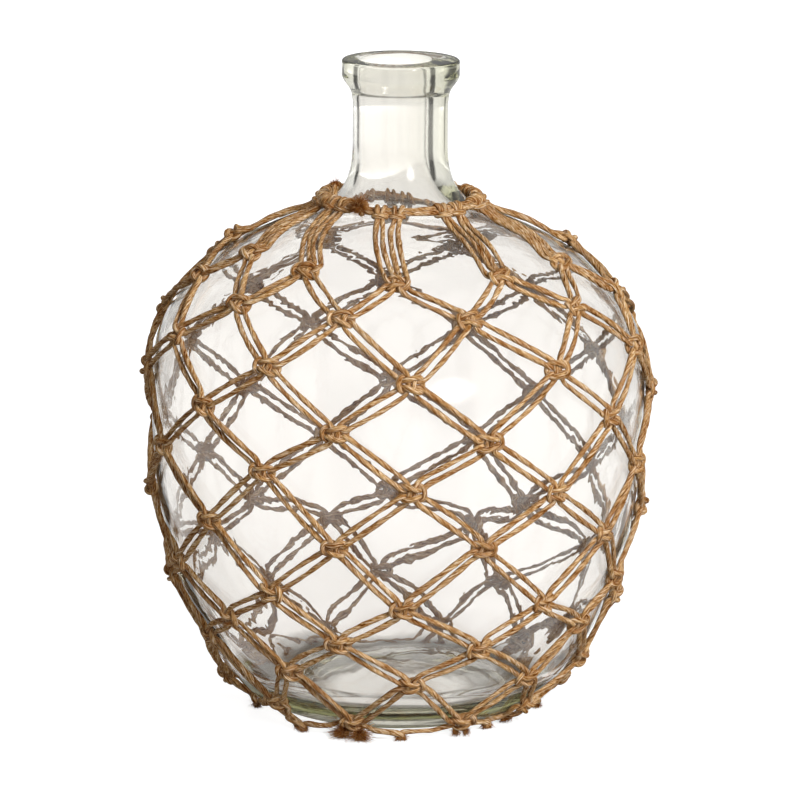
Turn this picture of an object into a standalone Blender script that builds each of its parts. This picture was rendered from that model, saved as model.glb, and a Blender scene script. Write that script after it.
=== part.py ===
"""A glass demijohn wrapped in a knotted jute net: one blown bottle, one neck ring cord and twenty
folded net cords. The bottle is turned from one outline. The cords hang from the neck ring and run
down the glass in pairs, tied to each other in rows of square knots, and end under the heel."""

import math

import bpy
import numpy as np

# The body, in metres. The belly's height counts from the surface that it stands on.
BELLY_RADIUS = 0.1568
BELLY_HEIGHT = 0.205
FOOT_RADIUS = 0.082
FOOT_WIDTH = 0.012
PUNT_HEIGHT = 0.016
SHOULDER_HEIGHT = 0.118
WALL = 0.0035
BASE_WALL = 0.0065

# The neck: a flare from the shoulder, a nearly straight part, and a rim with a slant under it
NECK_RADIUS = 0.0300
NECK_SPREAD = 0.0008
NECK_WALL = 0.0075
NECK_FLARE_HEIGHT = 0.049
NECK_FLARE_REACH = 0.030
NECK_HEIGHT = 0.03323
RIM_OVERHANG = 0.0064
RIM_SLANT = 0.0080
RIM_HEIGHT = 0.0118
RIM_ROUND = 0.0015
BORE_FLARE_HEIGHT = 0.025
BORE_FLARE_REACH = 0.0144

# How full the heel and the shoulder are: the powers of their rounded outlines, and how much
# closer their points stand where they turn most
HEEL_POWER_SHARES = (2.4, 0.746)
HEEL_STEP_SHARE = 1.6
SHOULDER_POWER_SHARES = (2.6, 0.76)
SHOULDER_STEP_SHARE = 0.75
FLARE_START_SHARE = 0.915

# The cords: their width, and the gaps to the glass, from layer to layer and from side to side
CORD_WIDTH = 0.0027
CORD_GAP = 0.0004
GLASS_GAP = 0.0004
LINK_LIFT = 0.0003
LINK_LIFT_SHARE = 0.2
HANG_LIFT = 0.0008
PAIR_GAP = 0.0021
HANG_GAP = 0.0019

# A square knot: half its width, the fillers' half length, and the gaps between its two bars and
# between its two fillers
KNOT_HALF_WIDTH = 0.0068
KNOT_FILLER_REACH = 0.0080
KNOT_BAR_GAP = 0.0007
KNOT_FILLER_GAP = 0.0005

# The neck ring, which lies this far above the foot of the neck's flare, and the hitches on it
RING_RISE = 0.01423
RING_TAIL_RISE = 0.0060
HITCH_GAP = 0.0007
HITCH_FOLD_GAP = 0.00085
HITCH_DROP = 0.0070

# The last knots and the cut ends beside the heel: how far they stand out from the glass there,
# and their heights
FINISH_REACH = 0.0134
FINISH_HEIGHT = 0.0048
FINISH_FLOOR_GAP = 0.00095
FINISH_GAP = 0.0011
TAIL_DROP = 0.0064
TAIL_REACH = 0.0121
TAIL_HEIGHT = 0.0032

# Counts
COLUMN_COUNT = 10
TURNED_SEGMENT_COUNT = 48
RING_TURN_COUNT = 2
RING_STEP_COUNT = 36
OUTLINE_STEP_COUNT = 400
FLARE_STEP_COUNT = 100
HEEL_POINT_COUNT = 9
SHOULDER_POINT_COUNT = 7
FLARE_POINT_COUNT = 7
INSIDE_POINT_COUNT = 6
BORE_POINT_COUNT = 3
PUNT_POINT_COUNT = 2

# Knots that the front shows, left to right in each row from the top: how many columns the knot
# stands from the front, and its height as a share of the body's. The rest stand evenly behind.
ROW_FIRST_COLUMNS = (-2, -2.5, -2, -2.5, -2, -2.5, -2, -2.5, -2, -1.5)
FRONT_KNOT_SHARES = (
    ((-1.72, 0.928), (-0.88, 0.920), (-0.02, 0.910), (0.93, 0.912), (1.79, 0.915)),
    ((-2.11, 0.876), (-1.30, 0.857), (-0.41, 0.854), (0.51, 0.852), (1.46, 0.851), (2.26, 0.848)),
    ((-1.79, 0.779), (-0.86, 0.761), (0.08, 0.745), (1.07, 0.752), (1.97, 0.754)),
    ((-2.25, 0.687), (-1.34, 0.667), (-0.38, 0.649), (0.56, 0.630), (1.53, 0.640), (2.41, 0.641)),
    ((-1.84, 0.558), (-0.86, 0.560), (0.09, 0.538), (1.05, 0.515), (1.94, 0.523)),
    ((-2.38, 0.438), (-1.32, 0.441), (-0.39, 0.423), (0.55, 0.421), (1.55, 0.407), (2.37, 0.406)),
    ((-1.81, 0.326), (-0.87, 0.315), (0.04, 0.301), (1.06, 0.289), (1.91, 0.292)),
    ((-2.20, 0.270), (-1.31, 0.239), (-0.41, 0.221), (0.61, 0.207), (1.52, 0.220), (2.15, 0.238)),
    ((-1.71, 0.175), (-0.86, 0.144), (0.12, 0.132), (1.14, 0.121), (2.00, 0.116)),
    ((-1.20, 0.059), (-0.41, 0.035), (0.66, 0.033), (1.41, 0.044)),
)

# The same for the hitches on the neck ring and for the last knots, which have no height here
RING_TURN_SHARES = (-2.20, -1.42, -0.20, 1.04, 2.15)
RING_START_SHARE = -0.90
FINISH_TURN_SHARES = (-1.05, 0.05)

# Sizes that follow from those above
BODY_HEIGHT = BELLY_HEIGHT + SHOULDER_HEIGHT
FLARE_FOOT = BELLY_HEIGHT + FLARE_START_SHARE * SHOULDER_HEIGHT
FLARE_TOP = FLARE_FOOT + NECK_FLARE_HEIGHT
BAND_FOOT = FLARE_TOP + NECK_HEIGHT + RIM_SLANT
TOTAL_HEIGHT = BAND_FOOT + RIM_HEIGHT
NECK_TOP_RADIUS = NECK_RADIUS + NECK_SPREAD
RIM_RADIUS = NECK_TOP_RADIUS + RIM_OVERHANG
BORE_RADIUS = NECK_RADIUS - NECK_WALL
CORD_STEP = CORD_WIDTH + CORD_GAP
BAR_STEP = CORD_WIDTH + KNOT_BAR_GAP
FILLER_STEP = CORD_WIDTH + KNOT_FILLER_GAP


def clear_scene():
    for piece in list(bpy.data.objects):
        bpy.data.objects.remove(piece, do_unlink=True)


def make_material(name, colour, roughness, transmission, alpha):
    """One Principled material."""
    material = bpy.data.materials.new(name)
    material.use_nodes = True
    shader = material.node_tree.nodes["Principled BSDF"]
    shader.inputs["Base Color"].default_value = (*colour, 1.0)
    shader.inputs["Roughness"].default_value = roughness
    shader.inputs["Metallic"].default_value = 0.0
    shader.inputs["Transmission Weight"].default_value = transmission
    shader.inputs["Alpha"].default_value = alpha
    return material


def glass_material():
    return make_material("clear_glass", (0.82, 0.86, 0.85), 0.05, 0.9, 0.35)


def jute_material():
    return make_material("jute_cord", (0.45, 0.26, 0.10), 0.85, 0.0, 1.0)


def heel_outline(count):
    """The side from the foot's edge up to the belly: a rounded outline in two powers."""
    bulge, round_in = HEEL_POWER_SHARES
    share = np.linspace(0.0, 1.0, count) ** HEEL_STEP_SHARE
    radius = FOOT_RADIUS + (BELLY_RADIUS - FOOT_RADIUS) * (1.0 - (1.0 - share) ** bulge) ** round_in
    return np.stack([radius, BELLY_HEIGHT * share], axis=1)


def shoulder_outline(count):
    """The side from the belly up to where the neck's flare begins."""
    bulge, round_in = SHOULDER_POWER_SHARES
    share = FLARE_START_SHARE * np.linspace(0.0, 1.0, count) ** SHOULDER_STEP_SHARE
    radius = NECK_RADIUS + (BELLY_RADIUS - NECK_RADIUS) * (1.0 - share ** bulge) ** round_in
    return np.stack([radius, BELLY_HEIGHT + SHOULDER_HEIGHT * share], axis=1)


def flare_outline(start, before, end, reach, count):
    """A cubic curve that leaves the shoulder along it and ends straight up the neck."""
    along = (start - before) / np.linalg.norm(start - before)
    first = start + reach * along
    second = end - np.array([0.0, reach])
    step = np.linspace(0.0, 1.0, count)[:, None]
    rest = 1.0 - step
    return rest ** 3 * start + 3 * rest ** 2 * step * first + 3 * rest * step ** 2 * second + step ** 3 * end


def outer_outline(heel_count, shoulder_count, flare_count):
    """Radius and height of the outside, from the foot's edge up to the top of the neck's flare."""
    heel = heel_outline(heel_count)
    shoulder = shoulder_outline(shoulder_count)
    dense = shoulder_outline(OUTLINE_STEP_COUNT)
    end = np.array([NECK_RADIUS, FLARE_TOP])
    flare = flare_outline(dense[-1], dense[-2], end, NECK_FLARE_REACH, flare_count)
    return np.concatenate([heel, shoulder[1:], flare[1:]])


def outline_normals(outline):
    """The outward direction at each point of an outline that runs upward."""
    along = np.gradient(outline, axis=0)
    across = np.stack([along[:, 1], -along[:, 0]], axis=1)
    return across / np.linalg.norm(across, axis=1)[:, None]


def dense_outline():
    """The outside outline in fine steps, its normals, and the length walked along it."""
    outline = outer_outline(OUTLINE_STEP_COUNT, OUTLINE_STEP_COUNT, FLARE_STEP_COUNT)
    step = np.linalg.norm(np.diff(outline, axis=0), axis=1)
    walked = np.concatenate([[0.0], np.cumsum(step)])
    return outline, outline_normals(outline), walked


def rim_outline():
    """The neck's top, the slant under the rim, the rim's band and its rounded top edges."""
    return [
        (NECK_TOP_RADIUS, BAND_FOOT - RIM_SLANT),
        (RIM_RADIUS, BAND_FOOT),
        (RIM_RADIUS, TOTAL_HEIGHT - RIM_ROUND),
        (RIM_RADIUS - RIM_ROUND, TOTAL_HEIGHT),
        (BORE_RADIUS + RIM_ROUND, TOTAL_HEIGHT),
        (BORE_RADIUS, TOTAL_HEIGHT - RIM_ROUND),
    ]


def inner_outline():
    """The inside from the bore down to the floor: the outside moved in by the wall."""
    outside = outer_outline(INSIDE_POINT_COUNT, INSIDE_POINT_COUNT, 2)[:-1]
    fine, across, walked = dense_outline()
    inside = []
    for point in outside:
        nearest = np.argmin(np.linalg.norm(fine - point, axis=1))
        inside.append(fine[nearest] - WALL * across[nearest])
    inside = np.array([point for point in inside if point[1] > PUNT_HEIGHT + BASE_WALL])
    end = np.array([BORE_RADIUS, inside[-1][1] + BORE_FLARE_HEIGHT])
    flare = flare_outline(inside[-1], inside[-2], end, BORE_FLARE_REACH, BORE_POINT_COUNT)
    return np.concatenate([inside, flare[1:]])[::-1]


def punt_outline(base_radius, top_height, foot_height, count):
    """A shallow dome from its edge in to the axis, leaving out the axis itself."""
    share = np.linspace(1.0, 0.0, count + 1)[:-1]
    radius = base_radius * share
    height = foot_height + (top_height - foot_height) * (1.0 - share ** 2)
    return list(zip(radius, height))


def bottle_outline():
    """The whole closed outline, from the foot's edge round the outside, the rim and the inside."""
    outside = outer_outline(HEEL_POINT_COUNT, SHOULDER_POINT_COUNT, FLARE_POINT_COUNT)
    inside = inner_outline()
    inner_floor = PUNT_HEIGHT + BASE_WALL
    points = [tuple(point) for point in outside]
    points += rim_outline()
    points += [tuple(point) for point in inside]
    points += punt_outline(FOOT_RADIUS, inner_floor, WALL + BASE_WALL, PUNT_POINT_COUNT)
    return points, inner_floor


def turned_mesh(name, outer, inner_pole, outer_pole, foot):
    """Turns an outline about the upright axis, with a pole at the inside and one underneath."""
    angle = np.linspace(0.0, 2.0 * math.pi, TURNED_SEGMENT_COUNT, endpoint=False)
    outline = np.array(list(outer) + list(foot))
    ring = np.stack([np.sin(angle), -np.cos(angle)], axis=1)
    verts = np.zeros((len(outline), TURNED_SEGMENT_COUNT, 3))
    verts[:, :, :2] = outline[:, None, :1] * ring[None]
    verts[:, :, 2] = outline[:, None, 1]
    verts = verts.reshape(-1, 3)
    faces = []
    last_inner = len(outer) - 1
    for row in range(len(outline)):
        after = (row + 1) % len(outline)
        if row == last_inner:
            continue
        if row == len(outline) - 1:
            after = 0
        for step in range(TURNED_SEGMENT_COUNT):
            turn = (step + 1) % TURNED_SEGMENT_COUNT
            low, high = row * TURNED_SEGMENT_COUNT, after * TURNED_SEGMENT_COUNT
            faces.append((low + step, low + turn, high + turn, high + step))
    inner_index, outer_index = len(verts), len(verts) + 1
    verts = np.vstack([verts, [0.0, 0.0, inner_pole], [0.0, 0.0, outer_pole]])
    for step in range(TURNED_SEGMENT_COUNT):
        turn = (step + 1) % TURNED_SEGMENT_COUNT
        edge = last_inner * TURNED_SEGMENT_COUNT
        faces.append((edge + step, edge + turn, inner_index))
        edge = (last_inner + 1) * TURNED_SEGMENT_COUNT
        faces.append((edge + turn, edge + step, outer_index))
    mesh = bpy.data.meshes.new(name)
    mesh.from_pydata(verts.tolist(), [], faces)
    return mesh


def add_piece(name, mesh, material, sharp_angle):
    """Puts a mesh into the scene as one named, smooth shaded piece."""
    mesh.materials.append(material)
    mesh.update()
    mesh.shade_smooth()
    mesh.set_sharp_from_angle(angle=math.radians(sharp_angle))
    piece = bpy.data.objects.new(name, mesh)
    bpy.context.scene.collection.objects.link(piece)
    return piece


def make_bottle(material):
    """The glass: body, neck, rim and open bore, with a dome pushed up under the foot."""
    outer, inner_pole = bottle_outline()
    foot = punt_outline(FOOT_RADIUS - FOOT_WIDTH, PUNT_HEIGHT, 0.0, PUNT_POINT_COUNT)[::-1]
    mesh = turned_mesh("bottle", outer, inner_pole, PUNT_HEIGHT, foot)
    return add_piece("bottle", mesh, material, 30.0)


class Glass:
    """The bottle's outside as a surface: round it by angle, up it by length walked."""

    def __init__(self):
        self.outline, self.across, self.walked = dense_outline()

    def radius(self, walked):
        return np.interp(walked, self.walked, self.outline[:, 0])

    def walked_at(self, height, layer):
        """Length walked up to where a point that far off the glass has this height."""
        heights = self.outline[:, 1] + layer * self.across[:, 1]
        return np.interp(height, heights, self.walked)

    def place(self, angle, walked, right=0.0, up=0.0, layer=0.0):
        """A point on the glass, moved right and up along it and out from it, and its normal."""
        along = walked + up
        radius = np.interp(along, self.walked, self.outline[:, 0])
        height = np.interp(along, self.walked, self.outline[:, 1])
        out = np.interp(along, self.walked, self.across[:, 0])
        rise = np.interp(along, self.walked, self.across[:, 1])
        turned = angle + right / radius
        reach = radius + layer * out
        point = (reach * math.sin(turned), -reach * math.cos(turned), height + layer * rise)
        normal = (out * math.sin(turned), -out * math.cos(turned), rise)
        return np.array(point), np.array(normal)


def layer(number):
    """How far the middle of a cord lies off the glass: 0 on the glass, then cord over cord."""
    return GLASS_GAP + CORD_WIDTH / 2 + number * CORD_STEP


def column_angle(columns):
    return 2.0 * math.pi * columns / COLUMN_COUNT


def full_ring(front, first_column):
    """All knots of a row by doubled column: those in front as given, the rest evenly behind."""
    knots = {}
    turns = [turn for turn, height in front]
    heights = [height for turn, height in front]
    behind = COLUMN_COUNT - len(front)
    for index in range(COLUMN_COUNT):
        if index < len(front):
            turn, height = front[index]
        else:
            share = (index - len(front) + 1) / (behind + 1)
            turn = turns[-1] + share * (COLUMN_COUNT + turns[0] - turns[-1])
            height = heights[-1] + share * (heights[0] - heights[-1])
        knots[round(2 * (first_column + index)) % (2 * COLUMN_COUNT)] = (column_angle(turn), height)
    return knots


def turned_ring(turns, walked):
    """The same for places that share one length walked. The first belongs to its nearest column."""
    return full_ring([(turn, walked) for turn in turns], round(turns[0]))


def net_knots(glass):
    """Angle and length walked of every knot: a list of rows, each by doubled column."""
    rows = []
    for front, first in zip(FRONT_KNOT_SHARES, ROW_FIRST_COLUMNS):
        row = {}
        for column, (angle, height) in full_ring(front, first).items():
            row[column] = (angle, glass.walked_at(height * BODY_HEIGHT, layer(1)))
        rows.append(row)
    return rows


def near(angle, other):
    """The same angle, within half a turn of another."""
    return other + (angle - other + math.pi) % (2.0 * math.pi) - math.pi


def knot_points(glass, knot, role):
    """A strand's way through a square knot. Strand 0 comes from the left and makes the front bars,
    strand 3 from the right and makes the back bars, and strands 1 and 2 run straight between."""
    angle, walked = knot
    if role in (1, 2):
        right = FILLER_STEP / 2 * (1 if role == 2 else -1)
        ways = [(right, KNOT_FILLER_REACH), (right, -KNOT_FILLER_REACH)]
        return [glass.place(angle, walked, right, up, layer(1)) for right, up in ways]
    side = -1 if role == 0 else 1
    level = layer(2) if role == 0 else layer(0)
    edge, bar, entry = KNOT_HALF_WIDTH, BAR_STEP / 2, BAR_STEP
    ways = [(side * edge, entry), (-side * edge, bar), (-side * edge, -bar), (side * edge, -entry)]
    return [glass.place(angle, walked, right, up, level) for right, up in ways]


def link_points(glass, start, end, offset, count):
    """Points between two knots, lifted so that the straight runs clear the round glass."""
    angle, walked = start
    far_angle, far_walked = near(end[0], angle), end[1]
    middle = glass.radius((walked + far_walked) / 2)
    right, up = (far_angle - angle) * middle, far_walked - walked
    size = math.hypot(right, up)
    run = size / (count + 1)
    lift = LINK_LIFT + LINK_LIFT_SHARE * run ** 2 / middle
    points = []
    for index in range(1, count + 1):
        share = index / (count + 1)
        there = (angle + share * (far_angle - angle), walked + share * (far_walked - walked))
        beside = (-up / size * offset, right / size * offset)
        points.append(glass.place(*there, *beside, layer(0) + lift))
    return points


def hanging_points(glass, hitch, knot, role, count):
    """Points between a hitch on the neck ring and its knot in the first row."""
    right = (CORD_WIDTH + HANG_GAP) * (role - 1.5)
    angle, walked = hitch
    far_angle, far_walked = near(knot[0], angle), knot[1] + KNOT_FILLER_REACH
    points = []
    for index in range(1, count + 1):
        share = index / (count + 1)
        there_angle = angle + share * (far_angle - angle)
        there_walked = (walked - HITCH_DROP) * (1 - share) + far_walked * share
        points.append(glass.place(there_angle, there_walked, right, 0.0, layer(0) + HANG_LIFT))
    return points


def beside_heel(glass, angle, reach, height, right):
    """A point that stands level out from the glass at a height, moved sideways."""
    radius = np.interp(height, glass.outline[:, 1], glass.outline[:, 0]) + reach
    turned = angle + right / radius
    outward = np.array([math.sin(turned), -math.cos(turned), 0.0])
    return radius * outward + np.array([0.0, 0.0, height]), outward


def finish_points(glass, knot, side):
    """The last knot of a single strand and its cut end, on the surface beside the heel."""
    angle = knot[0]
    offset = side * (CORD_WIDTH + FINISH_GAP) / 2
    end_height = CORD_WIDTH / 2 + FINISH_FLOOR_GAP
    end_reach = FINISH_REACH + CORD_STEP + FINISH_GAP
    return [
        beside_heel(glass, angle, FINISH_REACH, FINISH_HEIGHT, offset),
        beside_heel(glass, angle, end_reach, end_height, offset + side * CORD_GAP),
    ]


def tail_points(glass, knot, role):
    """The cut end of a filler under the last row of square knots."""
    angle, walked = knot
    right = FILLER_STEP / 2 * (1 if role == 2 else -1)
    upper = glass.place(angle, walked, right, KNOT_FILLER_REACH, layer(1))
    lower = glass.place(angle, walked, right, -TAIL_DROP, layer(1))
    return [upper, lower, beside_heel(glass, angle, TAIL_REACH, TAIL_HEIGHT, right)]


def leg_points(glass, rows, hitch, column, role):
    """One leg of a folded cord, from under its hitch down to its cut end. The last of the rows is
    that of the finishing knots."""
    knot = rows[0][column]
    points = hanging_points(glass, hitch, knot, role, 2)
    for below in rows[1:]:
        last = below is rows[-1]
        if last and role in (1, 2):
            return points + tail_points(glass, knot, role)
        points += knot_points(glass, knot, role)
        leftward = role in (0, 1)
        column = (column + (-1 if leftward else 1)) % (2 * COLUMN_COUNT)
        if last:
            return points + finish_points(glass, below[column], 1 if leftward else -1)
        offset = (CORD_WIDTH + PAIR_GAP) / 2 * (1 if role in (1, 3) else -1)
        points += link_points(glass, knot, below[column], offset, 1)
        role = (role + 2) % 4
        knot = below[column]


def hitch_points(glass, hitch, first_role):
    """The fold of a cord over the ring: up behind it, over its top and down in front."""
    angle, walked = hitch
    behind = (CORD_WIDTH + HITCH_GAP) * (first_role - 1.5)
    front = (CORD_WIDTH + HITCH_GAP) * (first_role - 0.5)
    rise = CORD_STEP / 2 + CORD_WIDTH + HITCH_FOLD_GAP
    ways = [
        (behind, -HITCH_DROP, layer(0)),
        (behind, rise, layer(0)),
        (front, rise, layer(2)),
        (front, -HITCH_DROP, layer(2)),
    ]
    return [glass.place(angle, walked, right, up, level) for right, up, level in ways]


def unit(vector):
    return vector / np.linalg.norm(vector)


def cord_rings(points, normals, width):
    """Four corners round each point, one side facing the glass and no twist from ring to ring."""
    steps = np.diff(points, axis=0)
    steps /= np.linalg.norm(steps, axis=1)[:, None]
    rings = []
    side = None
    for index in range(len(points)):
        before = steps[max(index - 1, 0)]
        after = steps[min(index, len(steps) - 1)]
        along = before + after
        along = unit(along) if np.linalg.norm(along) > 0.2 else after
        across = np.cross(along, normals[index])
        if np.linalg.norm(across) < 0.5 and side is not None:
            across = side - np.dot(side, along) * along
        side = unit(across)
        over = np.cross(side, along)
        half = width / 2
        corners = [half * (a * side + b * over) for a, b in ((-1, -1), (1, -1), (1, 1), (-1, 1))]
        if rings:
            shifts = [corners[shift:] + corners[:shift] for shift in range(4)]
            last = rings[-1] - points[index - 1]
            corners = min(shifts, key=lambda ring: np.abs(np.array(ring) - last).sum())
        rings.append(points[index] + np.array(corners))
    return np.array(rings)


def cord_mesh(name, places, width):
    """A four sided tube along a list of points and normals, closed at both ends."""
    points = np.array([point for point, normal in places])
    normals = np.array([normal for point, normal in places])
    rings = cord_rings(points, normals, width)
    count = len(rings)
    faces = []
    for row in range(count - 1):
        low, high = 4 * row, 4 * (row + 1)
        for corner in range(4):
            turn = (corner + 1) % 4
            faces.append((low + turn, low + corner, high + corner, high + turn))
    faces.append((0, 1, 2, 3))
    top = 4 * (count - 1)
    faces.append((top + 3, top + 2, top + 1, top))
    mesh = bpy.data.meshes.new(name)
    mesh.from_pydata(rings.reshape(-1, 3).tolist(), [], faces)
    return mesh


def ring_climb(angle):
    """How far the middle of the ring's turns has climbed at an angle, from half a cord under."""
    share = (angle - column_angle(RING_START_SHARE)) / (2.0 * math.pi) % 1.0
    return CORD_STEP * (share - 0.5)


def ring_points(glass):
    """The neck ring: one cord wound twice, side by side, with both ends turned out."""
    walked = glass.walked_at(FLARE_FOOT + RING_RISE, layer(1))
    start = column_angle(RING_START_SHARE)
    count = RING_TURN_COUNT * RING_STEP_COUNT
    spread = RING_TURN_COUNT * CORD_STEP
    points = []
    for index in range(count + 1):
        share = index / count
        angle = start + 2.0 * math.pi * RING_TURN_COUNT * share
        points.append(glass.place(angle, walked, 0.0, spread * (share - 0.5), layer(1)))
    first = glass.place(start, walked, -RING_TAIL_RISE, -spread / 2, layer(2))
    last = glass.place(start, walked, RING_TAIL_RISE, spread / 2, layer(2))
    return [first] + points + [last]


def make_ring(glass, material):
    mesh = cord_mesh("neck_ring_cord", ring_points(glass), CORD_WIDTH)
    return add_piece("neck_ring_cord", mesh, material, 60.0)


def ring_hitches(glass):
    """Angle and length walked of the hitches above each column, by doubled column."""
    middle = glass.walked_at(FLARE_FOOT + RING_RISE, layer(1))
    places = turned_ring(RING_TURN_SHARES, middle)
    return {column: (angle, walked + ring_climb(angle)) for column, (angle, walked) in places.items()}


def make_net(glass, material):
    """Two folded cords hang at each column: strands 0 and 1, and strands 2 and 3."""
    rows = net_knots(glass) + [turned_ring(FINISH_TURN_SHARES, 0.0)]
    hitches = ring_hitches(glass)
    number = 1
    for index in range(COLUMN_COUNT):
        column = 2 * index
        for first_role in (0, 2):
            behind = leg_points(glass, rows, hitches[column], column, first_role)
            front = leg_points(glass, rows, hitches[column], column, first_role + 1)
            fold = hitch_points(glass, hitches[column], first_role)
            name = f"net_cord_{number:02d}"
            mesh = cord_mesh(name, behind[::-1] + fold + front, CORD_WIDTH)
            add_piece(name, mesh, material, 60.0)
            number += 1


def main():
    clear_scene()
    glass = Glass()
    make_bottle(glass_material())
    jute = jute_material()
    make_ring(glass, jute)
    make_net(glass, jute)


main()
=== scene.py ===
"""A clear glass demijohn in a knotted jute net, standing on a pale floor in soft studio light.

The bottle is one turned surface with the slight waves of blown glass. Each net cord is one path, from
its hitch on the neck ring through ten rows of square knots to its cut ends, with a twisted three-ply
skin carried along it. The knots are drawn tight once and then laid on the glass at every crossing."""
import math

import bpy
import numpy as np
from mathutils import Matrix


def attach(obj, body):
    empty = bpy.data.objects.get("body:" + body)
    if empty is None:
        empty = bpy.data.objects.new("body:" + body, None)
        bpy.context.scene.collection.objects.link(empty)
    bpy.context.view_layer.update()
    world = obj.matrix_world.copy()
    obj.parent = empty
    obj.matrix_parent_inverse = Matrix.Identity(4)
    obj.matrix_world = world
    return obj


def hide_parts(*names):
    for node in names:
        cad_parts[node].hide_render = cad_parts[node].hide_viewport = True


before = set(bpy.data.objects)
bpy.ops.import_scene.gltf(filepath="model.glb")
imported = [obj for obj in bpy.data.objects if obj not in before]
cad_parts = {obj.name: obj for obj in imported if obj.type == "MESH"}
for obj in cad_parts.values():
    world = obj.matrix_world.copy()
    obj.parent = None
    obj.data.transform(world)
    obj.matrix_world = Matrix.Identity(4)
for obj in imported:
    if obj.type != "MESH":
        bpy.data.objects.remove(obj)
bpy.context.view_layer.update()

# The bottle, in metres. Heights count from the floor. All is as the solids have it but the bore, which
# is a little narrower here, rounded at the mouth and shifted to the left.
BELLY_RADIUS = 0.1568
BELLY_HEIGHT = 0.205
FOOT_RADIUS = 0.082
FOOT_WIDTH = 0.012
PUNT_HEIGHT = 0.016
SHOULDER_HEIGHT = 0.118
WALL = 0.0035
BASE_WALL = 0.0065
FLOOR_RADIUS = 0.86 * FOOT_RADIUS
FLOOR_EDGE_RISE = 0.002
FLOOR_CORNER_HEIGHT = 0.013
FLOOR_CORNER_IN = 0.006
INSIDE_FOOT_HEIGHT = 0.012
NECK_RADIUS = 0.0300
NECK_TOP_RADIUS = 0.0308
NECK_FLARE_HEIGHT = 0.049
NECK_FLARE_REACH = 0.030
NECK_HEIGHT = 0.03323
RIM_RADIUS = 0.0372
RIM_SLANT = 0.0080
RIM_HEIGHT = 0.0118
RIM_ROUND = 0.0022
BORE_RADIUS = 0.0214
BORE_SHIFT = -0.0034
MOUTH_ROUND = 0.0030
BORE_FLARE_HEIGHT = 0.045
BORE_FLARE_REACH = 0.026
HEEL_POWER_SHARES = (2.4, 0.746)
HEEL_STEP_SHARE = 1.6
SHOULDER_POWER_SHARES = (2.6, 0.76)
SHOULDER_STEP_SHARE = 0.75
FLARE_START_SHARE = 0.915
UNDER_RIM_SHARES = (0.7, 1.5)
BODY_HEIGHT = BELLY_HEIGHT + SHOULDER_HEIGHT
FLARE_FOOT = BELLY_HEIGHT + FLARE_START_SHARE * SHOULDER_HEIGHT
FLARE_TOP = FLARE_FOOT + NECK_FLARE_HEIGHT
BAND_FOOT = FLARE_TOP + NECK_HEIGHT + RIM_SLANT
TOTAL_HEIGHT = BAND_FOOT + RIM_HEIGHT

# The steps along the bottle's outline in metres, the steps round it, and the points of the outer
# line's three curves and of the short stretches. The foot's round edge ends at one point of the heel,
# and the side starts a gap above it. The inside's curve is smoothed some times.
OUTSIDE_STEP = 0.0022
INSIDE_STEP = 0.0034
BOTTLE_SEGMENTS = 232
OUTLINE_POINTS = (400, 400, 100)
FOOT_EDGE_POINT = 60
FOOT_EDGE_GAP = 0.001
FOOT_POINTS = 14
DOME_POINTS = 21
NECK_POINTS = 8
RIM_POINTS = 9
BORE_POINTS = 14
FLARE_POINTS = 16
FLARE_WAY_POINTS = 20
INSIDE_ROUNDS = 3

# The waves of blown glass: how many, their shortest and longest length, and their slope
BROAD_WAVES = (26, 0.040, 0.090)
BROAD_SLOPE = 0.003
MIDDLE_WAVES = (40, 0.018, 0.036)
MIDDLE_SLOPE = 0.0026

# Where the glass is calmer: its neck, bore and rim, by these shares of the waves. They weaken over a
# fade that ends so far above the neck's flare, and below a height at the foot.
NECK_WAVE_SHARE = 0.35
BORE_WAVE_SHARE = 0.45
RIM_WAVE_SHARE = 0.25
CALM_RISE = 0.01
CALM_FADE = 0.03
CALM_FOOT_HEIGHT = 0.02

# The glass is wavier towards its foot: how much more, and the heights where that starts and is full
LOW_RIPPLE_SHARE = 2.6
LOW_RIPPLE_TOP = 0.19
LOW_RIPPLE_FOOT = 0.08

# The glass's own and its shadow's colour, its tint by depth, and its finest ripples, 10 mm long
GLASS_COLOUR = "#FEFCFB"
GLASS_SHADOW_COLOUR = "#E4E1DE"
GLASS_TINT = "#D1D2A3"
GLASS_TINT_DENSITY = 14.0
GLASS_IOR = 1.5
RIPPLES_PER_METRE = 105.0
RIPPLE_DEPTH = 0.000055

# The jute: its patterns' scales along and across the cord with their detail, and its colours. Fibres
# show for about 10 mm and flecks for 3 mm, and the whole tone drifts every 36 mm. Across the cord they
# are coarser than real fibres of 0.1 mm, so that they still show.
FIBRE_PATTERN = ((95.0, 3.6, 3.6), 3.5)
FLECK_PATTERN = ((330.0, 2.2, 2.2), 2.0)
TONE_PATTERN = ((28.0, 0.5, 0.5), 3.0)
FIBRE_DEPTH = 0.0005
JUTE_COLOURS = ((0.36, "#2A1000"), (0.43, "#864F10"), (0.52, "#D6B07A"), (0.64, "#FFFAEC"))
TONE_COLOURS = ((0.34, "#B08450"), (0.62, "#FFFAF2"))
CUT_COLOURS = ((0.0, "#562608"), (0.5, "#964E18"), (0.8, "#C4883C"), (1.0, "#ECC894"))

# The cord, in metres: the real twine's width, its skin's width, its plies and their depth, the length
# of one twist, over what lengths it swells and how much, and how far its tips stand out. Its path is
# smoothed some times before and after its points are spaced evenly.
CORD = 0.0032
SKIN_WIDTH = 0.0033
PLIES = 3
PLY_DEPTH_SHARE = 0.03
TWIST = 0.034
SWELL_SHARES = ((0.013, 0.05), (0.031, 0.08), (0.11, 0.10))
TIP_SHARE = 0.2
CORD_SIDES = 12
CORD_STEP = 0.0011
SMOOTHING_ROUNDS = (3, 2)

# Where each cord's twist and pattern start: the ring's seed, the step to the next net cord's, and the
# twists that a seed of 1 shifts the pattern by
RING_SEED = 0.5
SEED_STEP = 1.7
SEED_TWISTS = 40

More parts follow.
